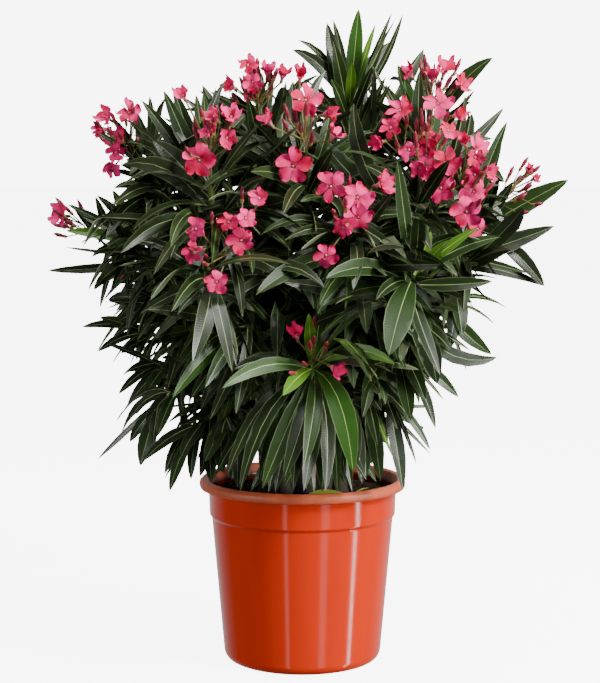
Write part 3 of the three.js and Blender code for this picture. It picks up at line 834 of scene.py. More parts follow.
# Side shoots that carry the outermost leaves of the skirts: the mass whose bough each leaves, its end in
# millimetres, and its leaves, each with the place of its tip, its hang, its width in millimetres, and its
# tone.
SIDE_SHOOTS = [
    ("right_low", (150, -90, 414), [
        ((204, -110, 362), -0.2, 18, "mid"), ((180, -80, 341), 0.15, 4.8, "deep"),
        ((214, -40, 389), 0.45, 4.8, "deep"), ((229, -30, 406), 0.5, 7.2, "deep"),
        ((186, -60, 390), 0.45, 3.6, "grey"), ((177, -70, 397), 0.3, 6, "deep"),
    ]),
    ("right_low", (117, -130, 399), [
        ((211, -100, 358), -0.5, 17, "deep"), ((140, -175, 338), 0.9, 24, "grey"),
        ((140, -140, 339), 0.45, 14.4, "deep"), ((112, -150, 346), 0.35, 12, "grey"),
        ((180, -120, 367), 0.25, 6, "deep"), ((156, -150, 371), 0.55, 16.8, "deep"),
    ]),
    ("right_skirt", (105, -120, 368), [
        ((141, -150, 287), 0.55, 13.2, "deep"), ((167, -130, 318), 0.25, 14.4, "mid"),
        ((129, -160, 319), 0.35, 16.8, "deep"), ((114, -165, 298), 0.45, 18, "mid"),
        ((153, -110, 312), 0.25, 4.8, "deep"), ((126, -130, 331), 0.45, 14.4, "deep"),
    ]),
    ("right_skirt", (90, -110, 321), [
        ((137, -130, 261), 0.45, 9.6, "mid"), ((123, -120, 244), 0.45, 6, "grey"),
        ((108, -128, 217), 0.55, 18, "deep"), ((102, -130, 283), 0.35, 9.6, "deep"),
    ]),
    ("right_skirt", (68, -120, 322), [
        ((80, -150, 268), 0.45, 12, "deep"), ((84, -126, 227), 0.55, 18, "mid"),
        ((83, -165, 308), 0.2, 10.8, "grey"), ((62, -190, 304), 0.9, 13.2, "grey"),
        ((96, -140, 255), 0.15, 4.8, "young"), ((74, -140, 308), 0.2, 12, "deep"),
        ((68, -128, 230), 0.55, 15.6, "deep"), ((139, -110, 253), 0.15, 4.8, "deep"),
    ]),
    ("left_low", (-169, -60, 380), [
        ((-244, -60, 387), 0.35, 10.2, "deep"), ((-224, -60, 398), 0.1, 13, "mid"),
        ((-225, -70, 361), 0.5, 10.2, "deep"), ((-212, -50, 346), 0.9, 5.8, "deep"),
        ((-186, -70, 330), 0.65, 10.2, "mid"), ((-199, -80, 360), 0.2, 11.6, "deep"),
    ]),
    ("left_low", (-151, -60, 413), [
        ((-215, -60, 416), 0, 8.7, "deep"), ((-203, -70, 394), 0.3, 11.6, "grey"),
        ((-197, -60, 430), 0.2, 7.2, "deep"), ((-209, -70, 376), 0.65, 11.6, "deep"),
    ]),
    ("left_low", (-155, -70, 345), [
        ((-199, -60, 334), 0.6, 5.8, "grey"), ((-214, -90, 372), 0.1, 7.2, "grey"),
        ((-163, -90, 252), 0.55, 7.2, "deep"), ((-193, -80, 301), 0.85, 13, "deep"),
        ((-193, -80, 340), 0.3, 11.6, "deep"), ((-202, -80, 315), 0.75, 10.2, "deep"),
        ((-175, -90, 308), 0.55, 14.5, "mid"),
    ]),
    ("left_skirt", (-144, -100, 320), [
        ((-205, -80, 285), 0.9, 11.6, "deep"), ((-197, -100, 276), 0.75, 13, "deep"),
        ((-227, -70, 241), 0.05, 7.2, "deep"), ((-169, -110, 280), 0.75, 14.5, "grey"),
        ((-182, -90, 294), 0.65, 13, "deep"), ((-156, -120, 275), 0.55, 14.5, "mid"),
    ]),
    ("left_skirt", (-157, -105, 303), [
        ((-175, -120, 242), 0.4, 18.8, "mid"), ((-161, -120, 269), 0.45, 13, "deep"),
        ((-188, -100, 265), 0.55, 11.6, "deep"),
    ]),
    ("left_skirt", (-111, -110, 286), [
        ((-171, -130, 249), 0.45, 14.5, "deep"), ((-148, -125, 234), 0.75, 11.6, "deep"),
        ((-143, -130, 216), 0.9, 13, "mid"), ((-141, -115, 233), 0.65, 11.6, "deep"),
        ((-151, -100, 224), 0.9, 4.3, "grey"), ((-120, -125, 228), 0.75, 11.6, "deep"),
        ((-130, -140, 254), 0.55, 14.5, "grey"), ((-98, -130, 226), 0.85, 17.4, "deep"),
        ((-110, -135, 233), 0.85, 14.5, "grey"),
    ]),
    ("left_skirt", (-82, -125, 295), [
        ((-85, -150, 240), 0.75, 18.8, "deep"), ((-75, -150, 232), 0.75, 18.8, "grey"),
        ((-65, -140, 237), 0.65, 20.3, "deep"), ((-95, -145, 244), 0.75, 18.8, "deep"),
        ((-104, -150, 251), 0.75, 17.4, "mid"), ((-69, -165, 227), 0.65, 17.4, "deep"),
    ]),
    ("front_tuft", (53, -135, 316), [
        ((45, -160, 244), 0.4, 15.6, "deep"), ((57, -150, 247), 0.4, 15.6, "deep"),
        ((64, -130, 224), 0.4, 15.6, "grey"), ((38, -165, 241), 0.4, 15.6, "deep"),
        ((54, -170, 278), 0.4, 15.6, "mid"),
    ]),
    ("left_arm", (-183, -40, 481), [
        ((-263, -40, 493), 0.08, 13, "young"), ((-262, -30, 522), 0.05, 10, "deep"),
        ((-245, -40, 509), 0, 9, "mid"), ((-229, -35, 532), 0.25, 11, "mid"),
        ((-210, -45, 538), 0.05, 14, "fresh"), ((-220, -40, 507), 0.1, 6, "deep"),
    ]),
]
SHOOT_RADII = (0.0018, 0.0012)
SHOOT_WHORLS = 4
SHOOT_LEAF = 0.95
SHOWN_WHORLS_APART = 0.008

twig_rows = []
leaf_rows = {tone: [] for tone in (*TONES, "inner", "fresh", "young")}


def square_to(axis, turn):
    """Unit vectors square to an axis: the one nearest to straight up, turned about the axis by turn."""
    axis = np.asarray(axis, float)
    helper = np.array([1.0, 0, 0]) if abs(axis[2]) > 0.95 else UP
    level = unit(np.cross(helper, axis))
    upward = np.cross(axis, level)
    return upward * math.cos(turn) + np.cross(axis, upward) * math.sin(turn)


def tilted(axis, tilt, turn):
    """The axis tilted away from itself by tilt, at a turn about it."""
    return unit(axis * math.cos(tilt) + square_to(axis, turn) * math.sin(tilt))


def varied(span, draw):
    """The least value of a span, plus a drawn share of what the span can add."""
    return span[0] + span[1] * next(draw)


def add_leaf(tone, joint, twig_way, opening, turn, length, hang, draw):
    """Notes one leaf: it leaves the twig at an opening angle, at a turn about it. Leaves are a little
    broader towards the right of the plant."""
    way = tilted(twig_way, opening, turn)
    broad = LEAF_WIDTH + 0.02 * joint[0]
    breadth = broad * (length / LEAF_LENGTH) ** 0.7 * varied(LEAF_BREADTH, draw)
    roll = LEAF_ROLL * (next(draw) - 0.5)
    sway = LEAF_SWAY * (next(draw) - 0.5)
    limp = hang * varied(LEAF_LIMPNESS, draw) + 0.12 * next(draw)
    leaf_rows[tone].append((*joint, *way, *twig_way, length, breadth, limp, roll, sway))


def add_whorl(tone, joint, twig_way, opening, turn, length, hang, draw):
    """Notes a whorl of three leaves."""
    for i in range(3):
        lean = opening * varied(WHORL_LEAF_OPENING, draw)
        reach = length * varied(WHORL_LEAF_LENGTH, draw)
        leaf_turn = turn + i * 2 * math.pi / 3 + 0.5 * next(draw)
        add_leaf(tone, joint, twig_way, lean, leaf_turn, reach, hang, draw)


def add_twig(start, end, radii=TWIG_RADII):
    """Notes one straight twig."""
    twig_rows.append((*start, *end, *radii))


for number, (mass_name, (*_, twigs, hang)) in enumerate(MASSES.items()):
    at, aim = seat(mass_name)
    upright = 1 - 0.3 * max(0.0, aim[2])  # leaves stand closer to a twig that aims up
    aims_up = aim[2] > 0.2
    draw = draws_from(number)
    fine_draw = draws_from(1000 + number)
    add_twig(at - aim * STALK, at, (BOUGH_RADII[1], TWIG_RADII[0]))

    # The fan: a leading twig along the aim and side twigs about it, each with whorls from its tip down,
    # as the source's rule has them, and one more whorl of shorter leaves between each two.
    for t in range(twigs):
        leading = t == 0
        tilt = 0.0 if leading else varied(SIDE_TWIG_TILT, draw)
        way = tilted(aim, tilt, (t - 1) * math.pi + 0.6 * next(draw) + 1.2 * number)
        length = TWIG_LENGTH * (1.0 if leading else varied(SIDE_TWIG_LENGTH, draw))
        add_twig(at, at + way * length)
        for w in range(3 if leading else 2):
            joint = at + way * (WHORL_HIGHEST - WHORL_APART * w) * length
            opening = upright * (WHORL_OPENING + WHORL_WIDER * w + 0.2 * hang)
            tone = TONES[(number + t + w) % 3]
            limp = hang * (WHORL_HANG[0] + WHORL_HANG[1] * w)
            for i in range(3):
                turn = i * 2 * math.pi / 3 + w * math.pi / 3 + 0.5 * next(draw)
                wish = LEAF_LENGTH * varied(SOURCE_LEAF_LENGTH, draw)
                add_leaf(tone, joint, way, opening, turn, wish, limp, fine_draw)
            between = at + way * (WHORL_HIGHEST - WHORL_APART * (w + 0.5)) * length
            if aims_up and hang > 0.1:
                shorter = HALF_WHORL * LEAF_LENGTH
                add_whorl(tone, between, way, opening + 0.15, w + 0.5, shorter, hang, fine_draw)

    # Fine twigs fork from the bough below the fan.
    for t in range(FULLER.get(mass_name, FINE_TWIGS if aims_up else 1)):
        root = at - aim * STALK * next(fine_draw)
        way = tilted(aim, varied(FINE_TWIG_TILT, fine_draw), 2.6 * t + number)
        length = TWIG_LENGTH * varied(FINE_TWIG_LENGTH, fine_draw)
        add_twig(root, root + way * length)
        for w in range(2):
            joint = root + way * length * (0.98 - 0.4 * w)
            opening = upright * (0.45 + 0.5 * w + 0.15 * hang)
            tone = TONES[(number + t) % 3]
            shorter = HALF_WHORL * LEAF_LENGTH
            add_whorl(tone, joint, way, opening, w * math.pi / 3 + t, shorter, hang, fine_draw)

    # The bough's own whorls of leaves fill the inside of the crown.
    for w in range(BOUGH_WHORLS):
        joint, heading = point_on(bough_lines[mass_name], 0.96 - BOUGH_WHORLS_APART * w)
        reach = LEAF_LENGTH * varied(INNER_LEAF_LENGTH, fine_draw)
        opening = varied(INNER_OPENING, fine_draw)
        add_whorl("inner", joint, heading, opening, w * math.pi / 3, reach, INNER_HANG, fine_draw)


shoot_leaves = []
for mass_name, end, shown in SIDE_SHOOTS:
    end = np.array(end) / 1000
    line = bough_lines[mass_name]
    start = line[np.linalg.norm(line - end, axis=1).argmin()]
    add_twig(start, end, SHOOT_RADII)
    way = unit(end - start)
    for w in range(SHOOT_WHORLS):
        joint = end + (0.1 + 0.22 * w) * (start - end)
        reach = SHOOT_LEAF * LEAF_LENGTH
        add_whorl("inner", joint, way, 0.5 + 0.2 * w, 1.1 * w, reach, INNER_HANG, fine_draw)
    for k, (tip, hang, width, tone) in enumerate(shown):
        root = end - SHOWN_WHORLS_APART * (k // 3) * way
        shoot_leaves.append((root, np.array(tip) / 1000, hang, width / 1000, tone))


def smooth_finish(name, dark, pale, roughness=0.45, scale=60.0):
    """A smooth plant skin, mottled without relief."""
    return mottled_material(name, dark, pale, roughness, {"Scale": scale, "Detail": 3.0})


def straight_skins(rods, rings, sides):
    """Straight tapering rods: rings of sides points about lines. A row of rods has a line's start and end
    and its two radii."""
    start, end, radius = rods[:, :3], rods[:, 3:6], rods[:, 6:]
    heading = unit(end - start)
    helper = np.where(np.abs(heading[:, 2:]) > 0.95, [1.0, 0, 0], [0, 0, 1.0])
    side = unit(np.cross(helper, heading))
    other = np.cross(heading, side)
    s = np.linspace(0, 1, rings)[None, :, None]
    angle = np.linspace(0, 2 * math.pi, sides, endpoint=False)
    centre = start[:, None] + (end - start)[:, None] * s
    width = radius[:, None, :1] + (radius[:, None, 1:] - radius[:, None, :1]) * s
    around = (
        side[:, None, None] * np.cos(angle)[:, None]
        + other[:, None, None] * np.sin(angle)[:, None]
    )
    return centre[:, :, None] + around * width[:, :, None], np.stack([start, end], 1)


# Twig bark: green, smooth and faintly mottled.
foliage_nodes = [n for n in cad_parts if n.startswith("foliage_")]
twig_bark = smooth_finish("smooth_green_twig_bark", "#3f4f22", "#6a7a3c")
twig_skins = straight_skins(np.array(twig_rows), TWIG_RINGS, TWIG_SIDES)
skin_piece("twigs", *twig_skins, [twig_bark], "foliage", foliage_nodes)


# ------------------------------------------------------------------------------ blossoms and buds
# A loose head of blossoms stands on the tip of a leading twig, on a stalk that forks. Each blossom is a
# funnel that opens into five blunt petals, set like the blades of a fan, round a fringed throat. Buds
# are slim pointed spindles, maroon, furled like an umbrella.

PETAL_REACH = 0.0225
PETAL_HALF_WIDTH = 0.0088
PETAL_WIDEST = 0.64
PETAL_THICKNESS = 0.0004
PETAL_ASIDE = 0.24
PETAL_BOW = (0.0052, -0.012)  # of an open blossom, and what a closed one adds
PETAL_LIFT = (0.2, 1.2)  # likewise, in radians
PETAL_MOOD = 0.36  # by which a petal's own lift may differ
THROAT_RADIUS = 0.0034
FUNNEL_LENGTH = 0.017
BUD_LENGTH = 0.020
CALYX_LENGTH = 0.016
MOST_CLOSED = 0.7
OPEN_WIDTH = 45  # across an open blossom, in millimetres
SMALLEST = 12  # across a blossom that is just opening, in millimetres
CLOSED_BROADER = 0.45
CLOSED_LARGER = 0.1
CLOSED_DEEPER = 0.6
ANY_TURN = 6.3
NO_AXIS = (0.31, 0.12, 0.94)  # a direction that no blossom or bud takes

# Radii at the two ends of the stalks of a whole head, a group of three, a blossom, one on the back, and a
# bud.
HEAD_STALK = (0.0017, 0.0013)
GROUP_STALK = (0.0010, 0.0008)
BLOSSOM_STALK = (0.0008, 0.0010)
BACK_STALK = (0.0011, 0.0013)
BUD_STALK = (0.0006, 0.0008)
BUD_SPREAD = 0.036
BUD_TILT = (0.15, 1.0)
BUD_REACH = (0.45, 0.55)
BUD_SIZE = (0.6, 0.55)
GOLDEN_ANGLE = 2.4
BACK_FORK = 0.016
BACK_REACH = (0.012, 0.012)
BACK_SIZE = (0.65, 0.3)
BACK_CLOSED = (0.0, 0.3)
FOOT_INSIDE = 0.006  # how far a head's stalk starts inside the tip of its twig

# Each blossom of the heads in view: x and z of its mouth and its width across, in millimetres, and how
# far it faces right and up, as shares of 1.
HEADS = {
    # mass: (y of the head in millimetres, buds, blossoms)
    "top_left": (-48, 22, [
        (-60, 675, 24, -0.3, 0.5), (-55, 656, 24, 0.1, -0.2), (-38, 671, 16, 0.1, 0.95),
        (-21, 666, 22, 0.2, 0.85), (-58, 642, 18, 0.3, -0.5), (-79, 651, 13, -0.6, 0.2),
    ]),
    "centre_head": (-140, 16, [
        (3, 633, 38, 0.1, 0.25), (-38, 613, 24, -0.6, 0.7), (34, 599, 24, 0.5, 0.75),
        (-10, 564, 42, 0.05, 0), (29, 619, 18, 0.9, 0.2), (-2, 661, 14, 0.1, 0.8),
    ]),
    "left_front": (-150, 15, [
        (-93, 616, 24, -0.5, 0.6), (-74, 617, 28, 0.2, 0.7), (-108, 570, 40, -0.05, -0.05),
        (-99, 600, 18, -0.6, 0.3), (-79, 593, 16, 0.3, -0.3), (-125, 638, 14, -0.3, 0.6),
    ]),
    "left_shoulder": (-30, 17, [
        (-219, 619, 28, -0.6, 0.4), (-192, 623, 32, -0.1, 0.5), (-208, 595, 28, -0.3, 0.2),
        (-207, 579, 23, 0, -0.4), (-226, 603, 16, -0.9, -0.3), (-211, 561, 21, -0.2, -0.4),
    ]),
    "left_arm": (-30, 9, [(-272, 510, 31, -0.7, 0.1)]),
    "left_face": (-195, 9, [
        (-109, 500, 27, -0.4, 0.3), (-112, 477, 24, -0.1, -0.4), (-76, 507, 24, 0.1, 0.4),
        (-58, 511, 23, 0.3, 0.3), (-63, 488, 31, 0.1, 0), (-88, 446, 28, 0, 0.3), (-45, 532, 16, 0, 0.4),
    ]),
    "front_head": (-190, 6, [
        (29, 543, 35, -0.3, 0.1), (56, 532, 38, 0.1, 0.2), (57, 512, 38, 0.15, -0.2),
        (41, 501, 18, -0.5, -0.3), (83, 546, 30, 0.7, 0.2), (24, 473, 28, 0, 0.05),
    ]),
    "top_right": (-15, 14, [
        (118, 669, 26, -0.5, 0.6), (159, 673, 31, 0.2, 0.8), (179, 657, 27, 0.6, 0.5),
        (145, 666, 16, 0, 0.9),
    ]),
    "right_front": (-140, 14, [
        (102, 622, 33, -0.3, 0.6), (141, 629, 35, 0.1, 0.6), (165, 618, 17, 0.7, 0.2),
        (92, 604, 25, -0.3, 0.2), (79, 589, 21, -0.7, -0.1), (111, 581, 25, 0.1, -0.5),
        (134, 594, 27, 0.1, 0.6), (152, 601, 25, 0.4, 0.4), (130, 576, 26, -0.1, 0.2),
        (122, 562, 19, -0.4, -0.4),
    ]),
    "right_shoulder": (-125, 12, [
        (152, 568, 35, 0.1, 0.1), (136, 556, 20, -0.4, -0.2), (147, 541, 35, -0.1, -0.1),
        (170, 592, 17, -0.3, 0.7), (186, 586, 27, 0.5, 0.6), (182, 573, 21, 0.2, -0.3),
        (183, 555, 20, -0.2, 0.1), (198, 558, 23, 0.8, 0.1), (182, 537, 33, 0.2, 0.3),
        (173, 516, 35, -0.1, 0), (187, 497, 29, 0.4, -0.4),
    ]),
    "right_arm": (0, 14, [(256, 562, 10, 0.3, 0.6), (264, 551, 9, 0.6, 0.3)]),
    "front_tuft": (-200, 7, [(-7, 394, 19, -0.2, 0.8), (35, 356, 21, 0.7, -0.3)]),
}
BACK_HEADS = {"back_top_left": 4, "back_top_right": 4, "back_left": 3, "back_face": 4}
BACK_BUDS = 6

blossom_rows = []
bud_rows = []
stalk_rows = []


def add_stalk(start, end, radii):
    """Notes one straight stalk."""
    stalk_rows.append((*start, *end, *radii))


def add_blossom(foot, facing, turn, size, closed):
    """Notes one blossom: closed is 0 for a flat one, and up to 0.7 for a cup."""
    blossom_rows.append((*foot, *facing, turn, size, closed))


def add_buds(fork, aim, count, draw):
    """Notes a head's buds, each on its own stalk from the fork, turned a golden angle from the last."""
    for b in range(count):
        way = tilted(aim, varied(BUD_TILT, draw), GOLDEN_ANGLE * b)
        foot = fork + way * BUD_SPREAD * varied(BUD_REACH, draw)
        way = unit(way + 0.6 * aim + 0.35 * UP)
        add_stalk(fork, foot, BUD_STALK)
        bud_rows.append((*foot, *way, varied(BUD_SIZE, draw)))


# A head in view: its stalk leads to a fork on the way to the middle of its blossoms, and from there one
# stalk leads to each group of three. Small blossoms, and those that face well aside or up, are half closed.
for number, (mass_name, (y, bud_count, blossoms)) in enumerate(HEADS.items()):
    draw = draws_from(2000 + number)
    at, aim = seat(mass_name)
    tip = at + aim * TWIG_LENGTH
    mouths = np.array([(x, y - 12 * math.sin(3 * k), z) for k, (x, z, *_) in enumerate(blossoms)]) / 1000
    heart = mouths.mean(0) - aim * 0.02
    fork = tip + 0.55 * (heart - tip)
    add_stalk(tip - aim * FOOT_INSIDE, fork, HEAD_STALK)
    feet = []
    for mouth, (_, _, across, right, up) in zip(mouths, blossoms):
        size = max(across / OPEN_WIDTH, 0.5 if across > SMALLEST else 0.3)
        aside = right ** 2 + up ** 2
        facing = unit(np.array([right, -math.sqrt(max(0.06, 1 - aside)), up]))
        closed = min(MOST_CLOSED, max(0.0, 0.75 - across / 36) + 0.35 * (aside > 0.45))
        foot = mouth - facing * (FUNNEL_LENGTH + CLOSED_DEEPER * closed * PETAL_REACH) * size
        feet.append(foot)
        size = size * (1 + CLOSED_LARGER * closed)
        add_blossom(foot, facing, ANY_TURN * next(draw), size, closed)
    forks = [fork]
    for first in range(0, len(feet), 3):
        group = np.array(feet[first:first + 3])
        onward = group.mean(0) - fork
        forks.append(fork + 0.6 * onward - 0.25 * aim * np.linalg.norm(onward))
        add_stalk(fork, forks[-1], GROUP_STALK)
        for foot in group:
            add_stalk(forks[-1], foot, BLOSSOM_STALK)
    for k, side_fork in enumerate(forks):
        add_buds(side_fork, aim, bud_count // len(forks) + (k < bud_count % len(forks)), draw)

# A head on the back: its blossoms stand about the fork on a spiral that widens.
for number, (mass_name, open_blossoms) in enumerate(BACK_HEADS.items()):
    draw = draws_from(3000 + number)
    at, aim = seat(mass_name)
    tip = at + aim * TWIG_LENGTH
    fork = tip + aim * BACK_FORK
    add_stalk(tip - aim * FOOT_INSIDE, fork, HEAD_STALK)
    for b in range(open_blossoms):
        tilt = 0.25 + 0.9 * math.sqrt((b + 0.5) / open_blossoms)
        way = tilted(aim, tilt, GOLDEN_ANGLE * b + next(draw))
        foot = fork + way * varied(BACK_REACH, draw)
        facing = unit(way + np.array([0, 0.1, 0.3]))
        add_stalk(fork, foot, BACK_STALK)
        turn = ANY_TURN * next(draw)
        add_blossom(foot, facing, turn, varied(BACK_SIZE, draw), varied(BACK_CLOSED, draw))
    add_buds(fork, aim, BACK_BUDS, draw)

blossom_table = np.array(blossom_rows)
bud_table = np.array(bud_rows)


def petal_skins(table):
    """Petals as closed thin blades. With v from the throat out and u across, the middle line leaves the
    throat raised by PETAL_LIFT and a mood of its own, and bends back as v^2 and aside as v^2. The half
    width opens as 0.3 + 0.7 sin(pi/2 v/w)^1.3 to its widest at v = w, and closes from there as
    (1 - t^2)^0.72, with t from 0 to 1. The rim of the blade is raised, tilted and waved more with v."""
    foot, axis = table[:, None, :3], table[:, None, 3:6]
    turn, size, closed = table[:, 6:].T
    side = unit(np.cross(table[:, 3:6], NO_AXIS))
    other = np.cross(table[:, 3:6], side)
    angle = (turn[:, None] + np.arange(5) * 2 * math.pi / 5)[..., None]
    out = side[:, None] * np.cos(angle) + other[:, None] * np.sin(angle)
    flank = other[:, None] * np.cos(angle) - side[:, None] * np.sin(angle)
    v = np.array([0.0, 0.14, 0.3, 0.46, 0.62, 0.76, 0.88, 0.97])
    opening = 0.3 + 0.7 * np.sin(np.minimum(v / PETAL_WIDEST, 1) * math.pi / 2) ** 1.3
    past_widest = np.maximum(v - PETAL_WIDEST, 0) / (1 - PETAL_WIDEST)
    half = PETAL_HALF_WIDTH * opening * (1 - past_widest ** 2) ** 0.72
    u = np.array([-1, -0.5, 0, 0.5, 1, 0.5, 0, -0.5])
    under = np.array([0, 0, 0, 0, 0, 1, 1, 1])
    chance = np.random.default_rng(12)
    each = (len(table), 5, 1, 1)
    mood = chance.uniform(-1, 1, each)
    wave = chance.uniform(0, ANY_TURN, each)
    grow = chance.uniform(0.84, 1.06, each)
    broad = chance.uniform(0.85, 1.12, each) * (1 + CLOSED_BROADER * closed)[:, None, None, None]
    lift = (PETAL_LIFT[0] + PETAL_LIFT[1] * closed)[:, None, None, None] + PETAL_MOOD * mood
    along = v[:, None]
    run = grow * (PETAL_REACH - THROAT_RADIUS) * along
    bow = (PETAL_BOW[0] + PETAL_BOW[1] * closed[:, None, None, None]) * along ** 2
    x = broad * half[:, None] * u + PETAL_ASIDE * run * along
    y = THROAT_RADIUS + run * np.cos(lift) + 0.6 * bow * np.sin(lift)
    rise = run * np.sin(lift) - bow + 0.0036 * along * u ** 2 + 0.0042 * u * along
    rise = rise + 0.0023 * np.sin(3.4 * u + 5 * along + wave) * along - PETAL_THICKNESS * under
    scale = size[:, None, None, None]
    mouth = foot + axis * FUNNEL_LENGTH * size[:, None, None]
    rings = (
        mouth[:, :, None, None]
        + out[:, :, None, None] * (y * scale)[..., None]
        + flank[:, :, None, None] * (x * scale)[..., None]
        + axis[:, :, None, None] * (rise * scale)[..., None]
    )
    first = rings[:, :, 0, [2, 6]].mean(2)
    last = rings[:, :, -1, [2, 6]].mean(2)
    last = last + 0.3 * (last - rings[:, :, -2, [2, 6]].mean(2))
    uv = np.stack(np.broadcast_arrays(0.5 + 0.5 * u, along), -1)
    uv = np.concatenate([uv.reshape(-1, 2), [[0.5, 0], [0.5, 1]]])
    count = len(table) * 5
    poles = np.stack([first, last], 2).reshape(count, 2, 3)
    return rings.reshape(count, len(v), len(u), 3), poles, np.tile(uv, (count, 1))


# Petal: thin, soft and slightly velvety, rose pink, deeper towards the throat with darker streaks along
# it.
petal_finish, tree, shader = new_material("velvety_rose_petal")
place_node = add_node(tree, "ShaderNodeTexCoord")
across_along = add_node(tree, "ShaderNodeSeparateXYZ", inputs={"Vector": place_node.outputs["UV"]})
bloom_noise = add_node(
    tree, "ShaderNodeTexNoise", inputs={"Vector": place_node.outputs["Object"], "Scale": 45.0, "Detail": 3.0}
)
bloom_share = add_node(
    tree,
    "ShaderNodeMapRange",
    inputs={"Value": bloom_noise.outputs["Fac"], "From Min": 0.32, "From Max": 0.68},
)
petal_base = add_node(
    tree,
    "ShaderNodeMix",
    {"data_type": "RGBA"},
    {0: bloom_share.outputs["Result"], 6: linear("#cc0440"), 7: linear("#ff3a90")},
)
STREAKS = 5
streak_turn = add_node(
    tree,
    "ShaderNodeMath",
    {"operation": "MULTIPLY"},
    {0: across_along.outputs["X"], 1: 2 * math.pi * STREAKS},
)
streak = add_node(tree, "ShaderNodeMath", {"operation": "SINE"}, {0: streak_turn.outputs[0]})
towards_throat = add_node(
    tree,
    "ShaderNodeMapRange",
    inputs={"Value": across_along.outputs["Y"], "From Min": 0.6, "From Max": 0.05},
)
streak_strength = add_node(
    tree,
    "ShaderNodeMapRange",
    inputs={"Value": streak.outputs[0], "From Min": 0.0, "From Max": 1.0, "To Min": 0.2, "To Max": 0.7},
)
streak_share = add_node(
    tree,
    "ShaderNodeMath",
    {"operation": "MULTIPLY"},
    {0: streak_strength.outputs["Result"], 1: towards_throat.outputs["Result"]},
)
petal_colour = add_node(
    tree,
    "ShaderNodeMix",
    {"data_type": "RGBA"},
    {0: streak_share.outputs[0], 6: petal_base.outputs[2], 7: linear("#960630")},
)
petal_bump = add_node(
    tree,
    "ShaderNodeBump",
    inputs={"Height": streak.outputs[0], "Strength": 0.1, "Distance": 0.0004},
)
tree.links.new(petal_colour.outputs[2], shader.inputs["Base Color"])
tree.links.new(petal_bump.outputs["Normal"], shader.inputs["Normal"])
shader.inputs["Roughness"].default_value = 0.5
shader.inputs["Specular IOR Level"].default_value = 0.14

rings, poles, uv = petal_skins(blossom_table)
skin_piece("petals", rings, poles, [petal_finish], "foliage", foliage_nodes, uv=uv, crease=70.0)


def spindle_skins(foot, axis, length, profile, sides, twist=0.0):
    """Bodies turned about an axis: ring k has the radius and share of the length that profile[k] gives,
    and is turned by twist times that share. The first and last rows are the poles."""
    side = unit(np.cross(axis, NO_AXIS))
    other = np.cross(axis, side)
    share, radius = profile[1:-1, 0], profile[1:-1, 1]
    angle = np.linspace(0, 2 * math.pi, sides, endpoint=False)[None, :] + twist * share[:, None]
    angle = angle[..., None]
    around = side[:, None, None] * np.cos(angle) + other[:, None, None] * np.sin(angle)
    centre = foot[:, None] + axis[:, None] * (length[:, None] * share)[..., None]
    rings = centre[:, :, None] + around * radius[:, None, None]
    poles = foot[:, None] + axis[:, None] * (length[:, None] * profile[[0, -1], 0])[..., None]
    return rings, poles


# Funnel of a blossom: mottled from rose to a pale pink, paler than the petals. Its fringed throat is a
# small crown of pale points.
blossom_foot, blossom_axis = blossom_table[:, :3], blossom_table[:, 3:6]
funnel_length = FUNNEL_LENGTH * blossom_table[:, 7]
funnel_finish = smooth_finish("pale_pink_funnel", "#d8476c", "#f0a0b0")
funnel_profile = np.array([
    [0.0, 0.0], [0.0, 0.0012], [0.35, 0.0015], [0.6, 0.0024], [0.85, 0.0036], [1.0, 0.0046], [0.85, 0.003],
    [0.7, 0.0],
])
funnel_skins = spindle_skins(blossom_foot, blossom_axis, funnel_length, funnel_profile, 10)
skin_piece("funnels", *funnel_skins, [funnel_finish], "foliage", foliage_nodes)
fringe_finish = smooth_finish("pale_fringed_throat", "#b8305a", "#f0b8a8")
fringe_profile = np.array([[0.8, 0.0], [0.85, 0.0012], [1.03, 0.0014], [1.12, 0.0006], [1.14, 0.0]])
fringe_skins = spindle_skins(blossom_foot, blossom_axis, funnel_length, fringe_profile, 5, 2.0)
skin_piece("throats", *fringe_skins, [fringe_finish], "foliage", foliage_nodes)

# Bud: furled petals, waxy, maroon to wine red, on a small green cup.
bud_foot, bud_axis = bud_table[:, :3], bud_table[:, 3:6]
bud_finish = smooth_finish("furled_maroon_bud", "#460b17", "#a82844", 0.42, 120.0)
bud_profile = np.array([
    [0.0, 0.0], [0.02, 0.0012], [0.2, 0.0017], [0.45, 0.0023], [0.65, 0.0024], [0.85, 0.0014], [0.97, 0.0004],
    [1.0, 0.0],
])
bud_skins = spindle_skins(bud_foot, bud_axis, BUD_LENGTH * bud_table[:, 6], bud_profile, 7, 2.5)
skin_piece("buds", *bud_skins, [bud_finish], "foliage", foliage_nodes)

# Calyx and flower stalk: the cup is yellow-green, tinged with maroon in patches, and the stalk browner.
calyx_finish = smooth_finish("maroon_tinged_calyx", "#7a2f26", "#98964a")
calyx_profile = np.array([
    [-0.12, 0.0], [-0.1, 0.0011], [0.04, 0.002], [0.2, 0.0018], [0.24, 0.0004], [0.25, 0.0],
])
calyx_foot = np.concatenate([blossom_foot, bud_foot])
calyx_axis = np.concatenate([blossom_axis, bud_axis])
calyx_length = np.full(len(calyx_foot), CALYX_LENGTH)
calyx_skins = spindle_skins(calyx_foot, calyx_axis, calyx_length, calyx_profile, 7)
skin_piece("calyces", *calyx_skins, [calyx_finish], "foliage", foliage_nodes)
stalk_finish = smooth_finish("yellow_green_flower_stalk", "#5c4a2a", "#86824a")
stalk_skins = straight_skins(np.array(stalk_rows), 3, 6)
skin_piece("flower_stalks", *stalk_skins, [stalk_finish], "foliage", foliage_nodes)


# ------------------------------------------------------------------------------------------- leaves
# Leaves stand on the twigs and boughs in whorls of three: stiff, leathery, narrow blades folded a little
# along a pale midrib. New leaves at the tips stand up and are fresh green, older ones spread and hang.

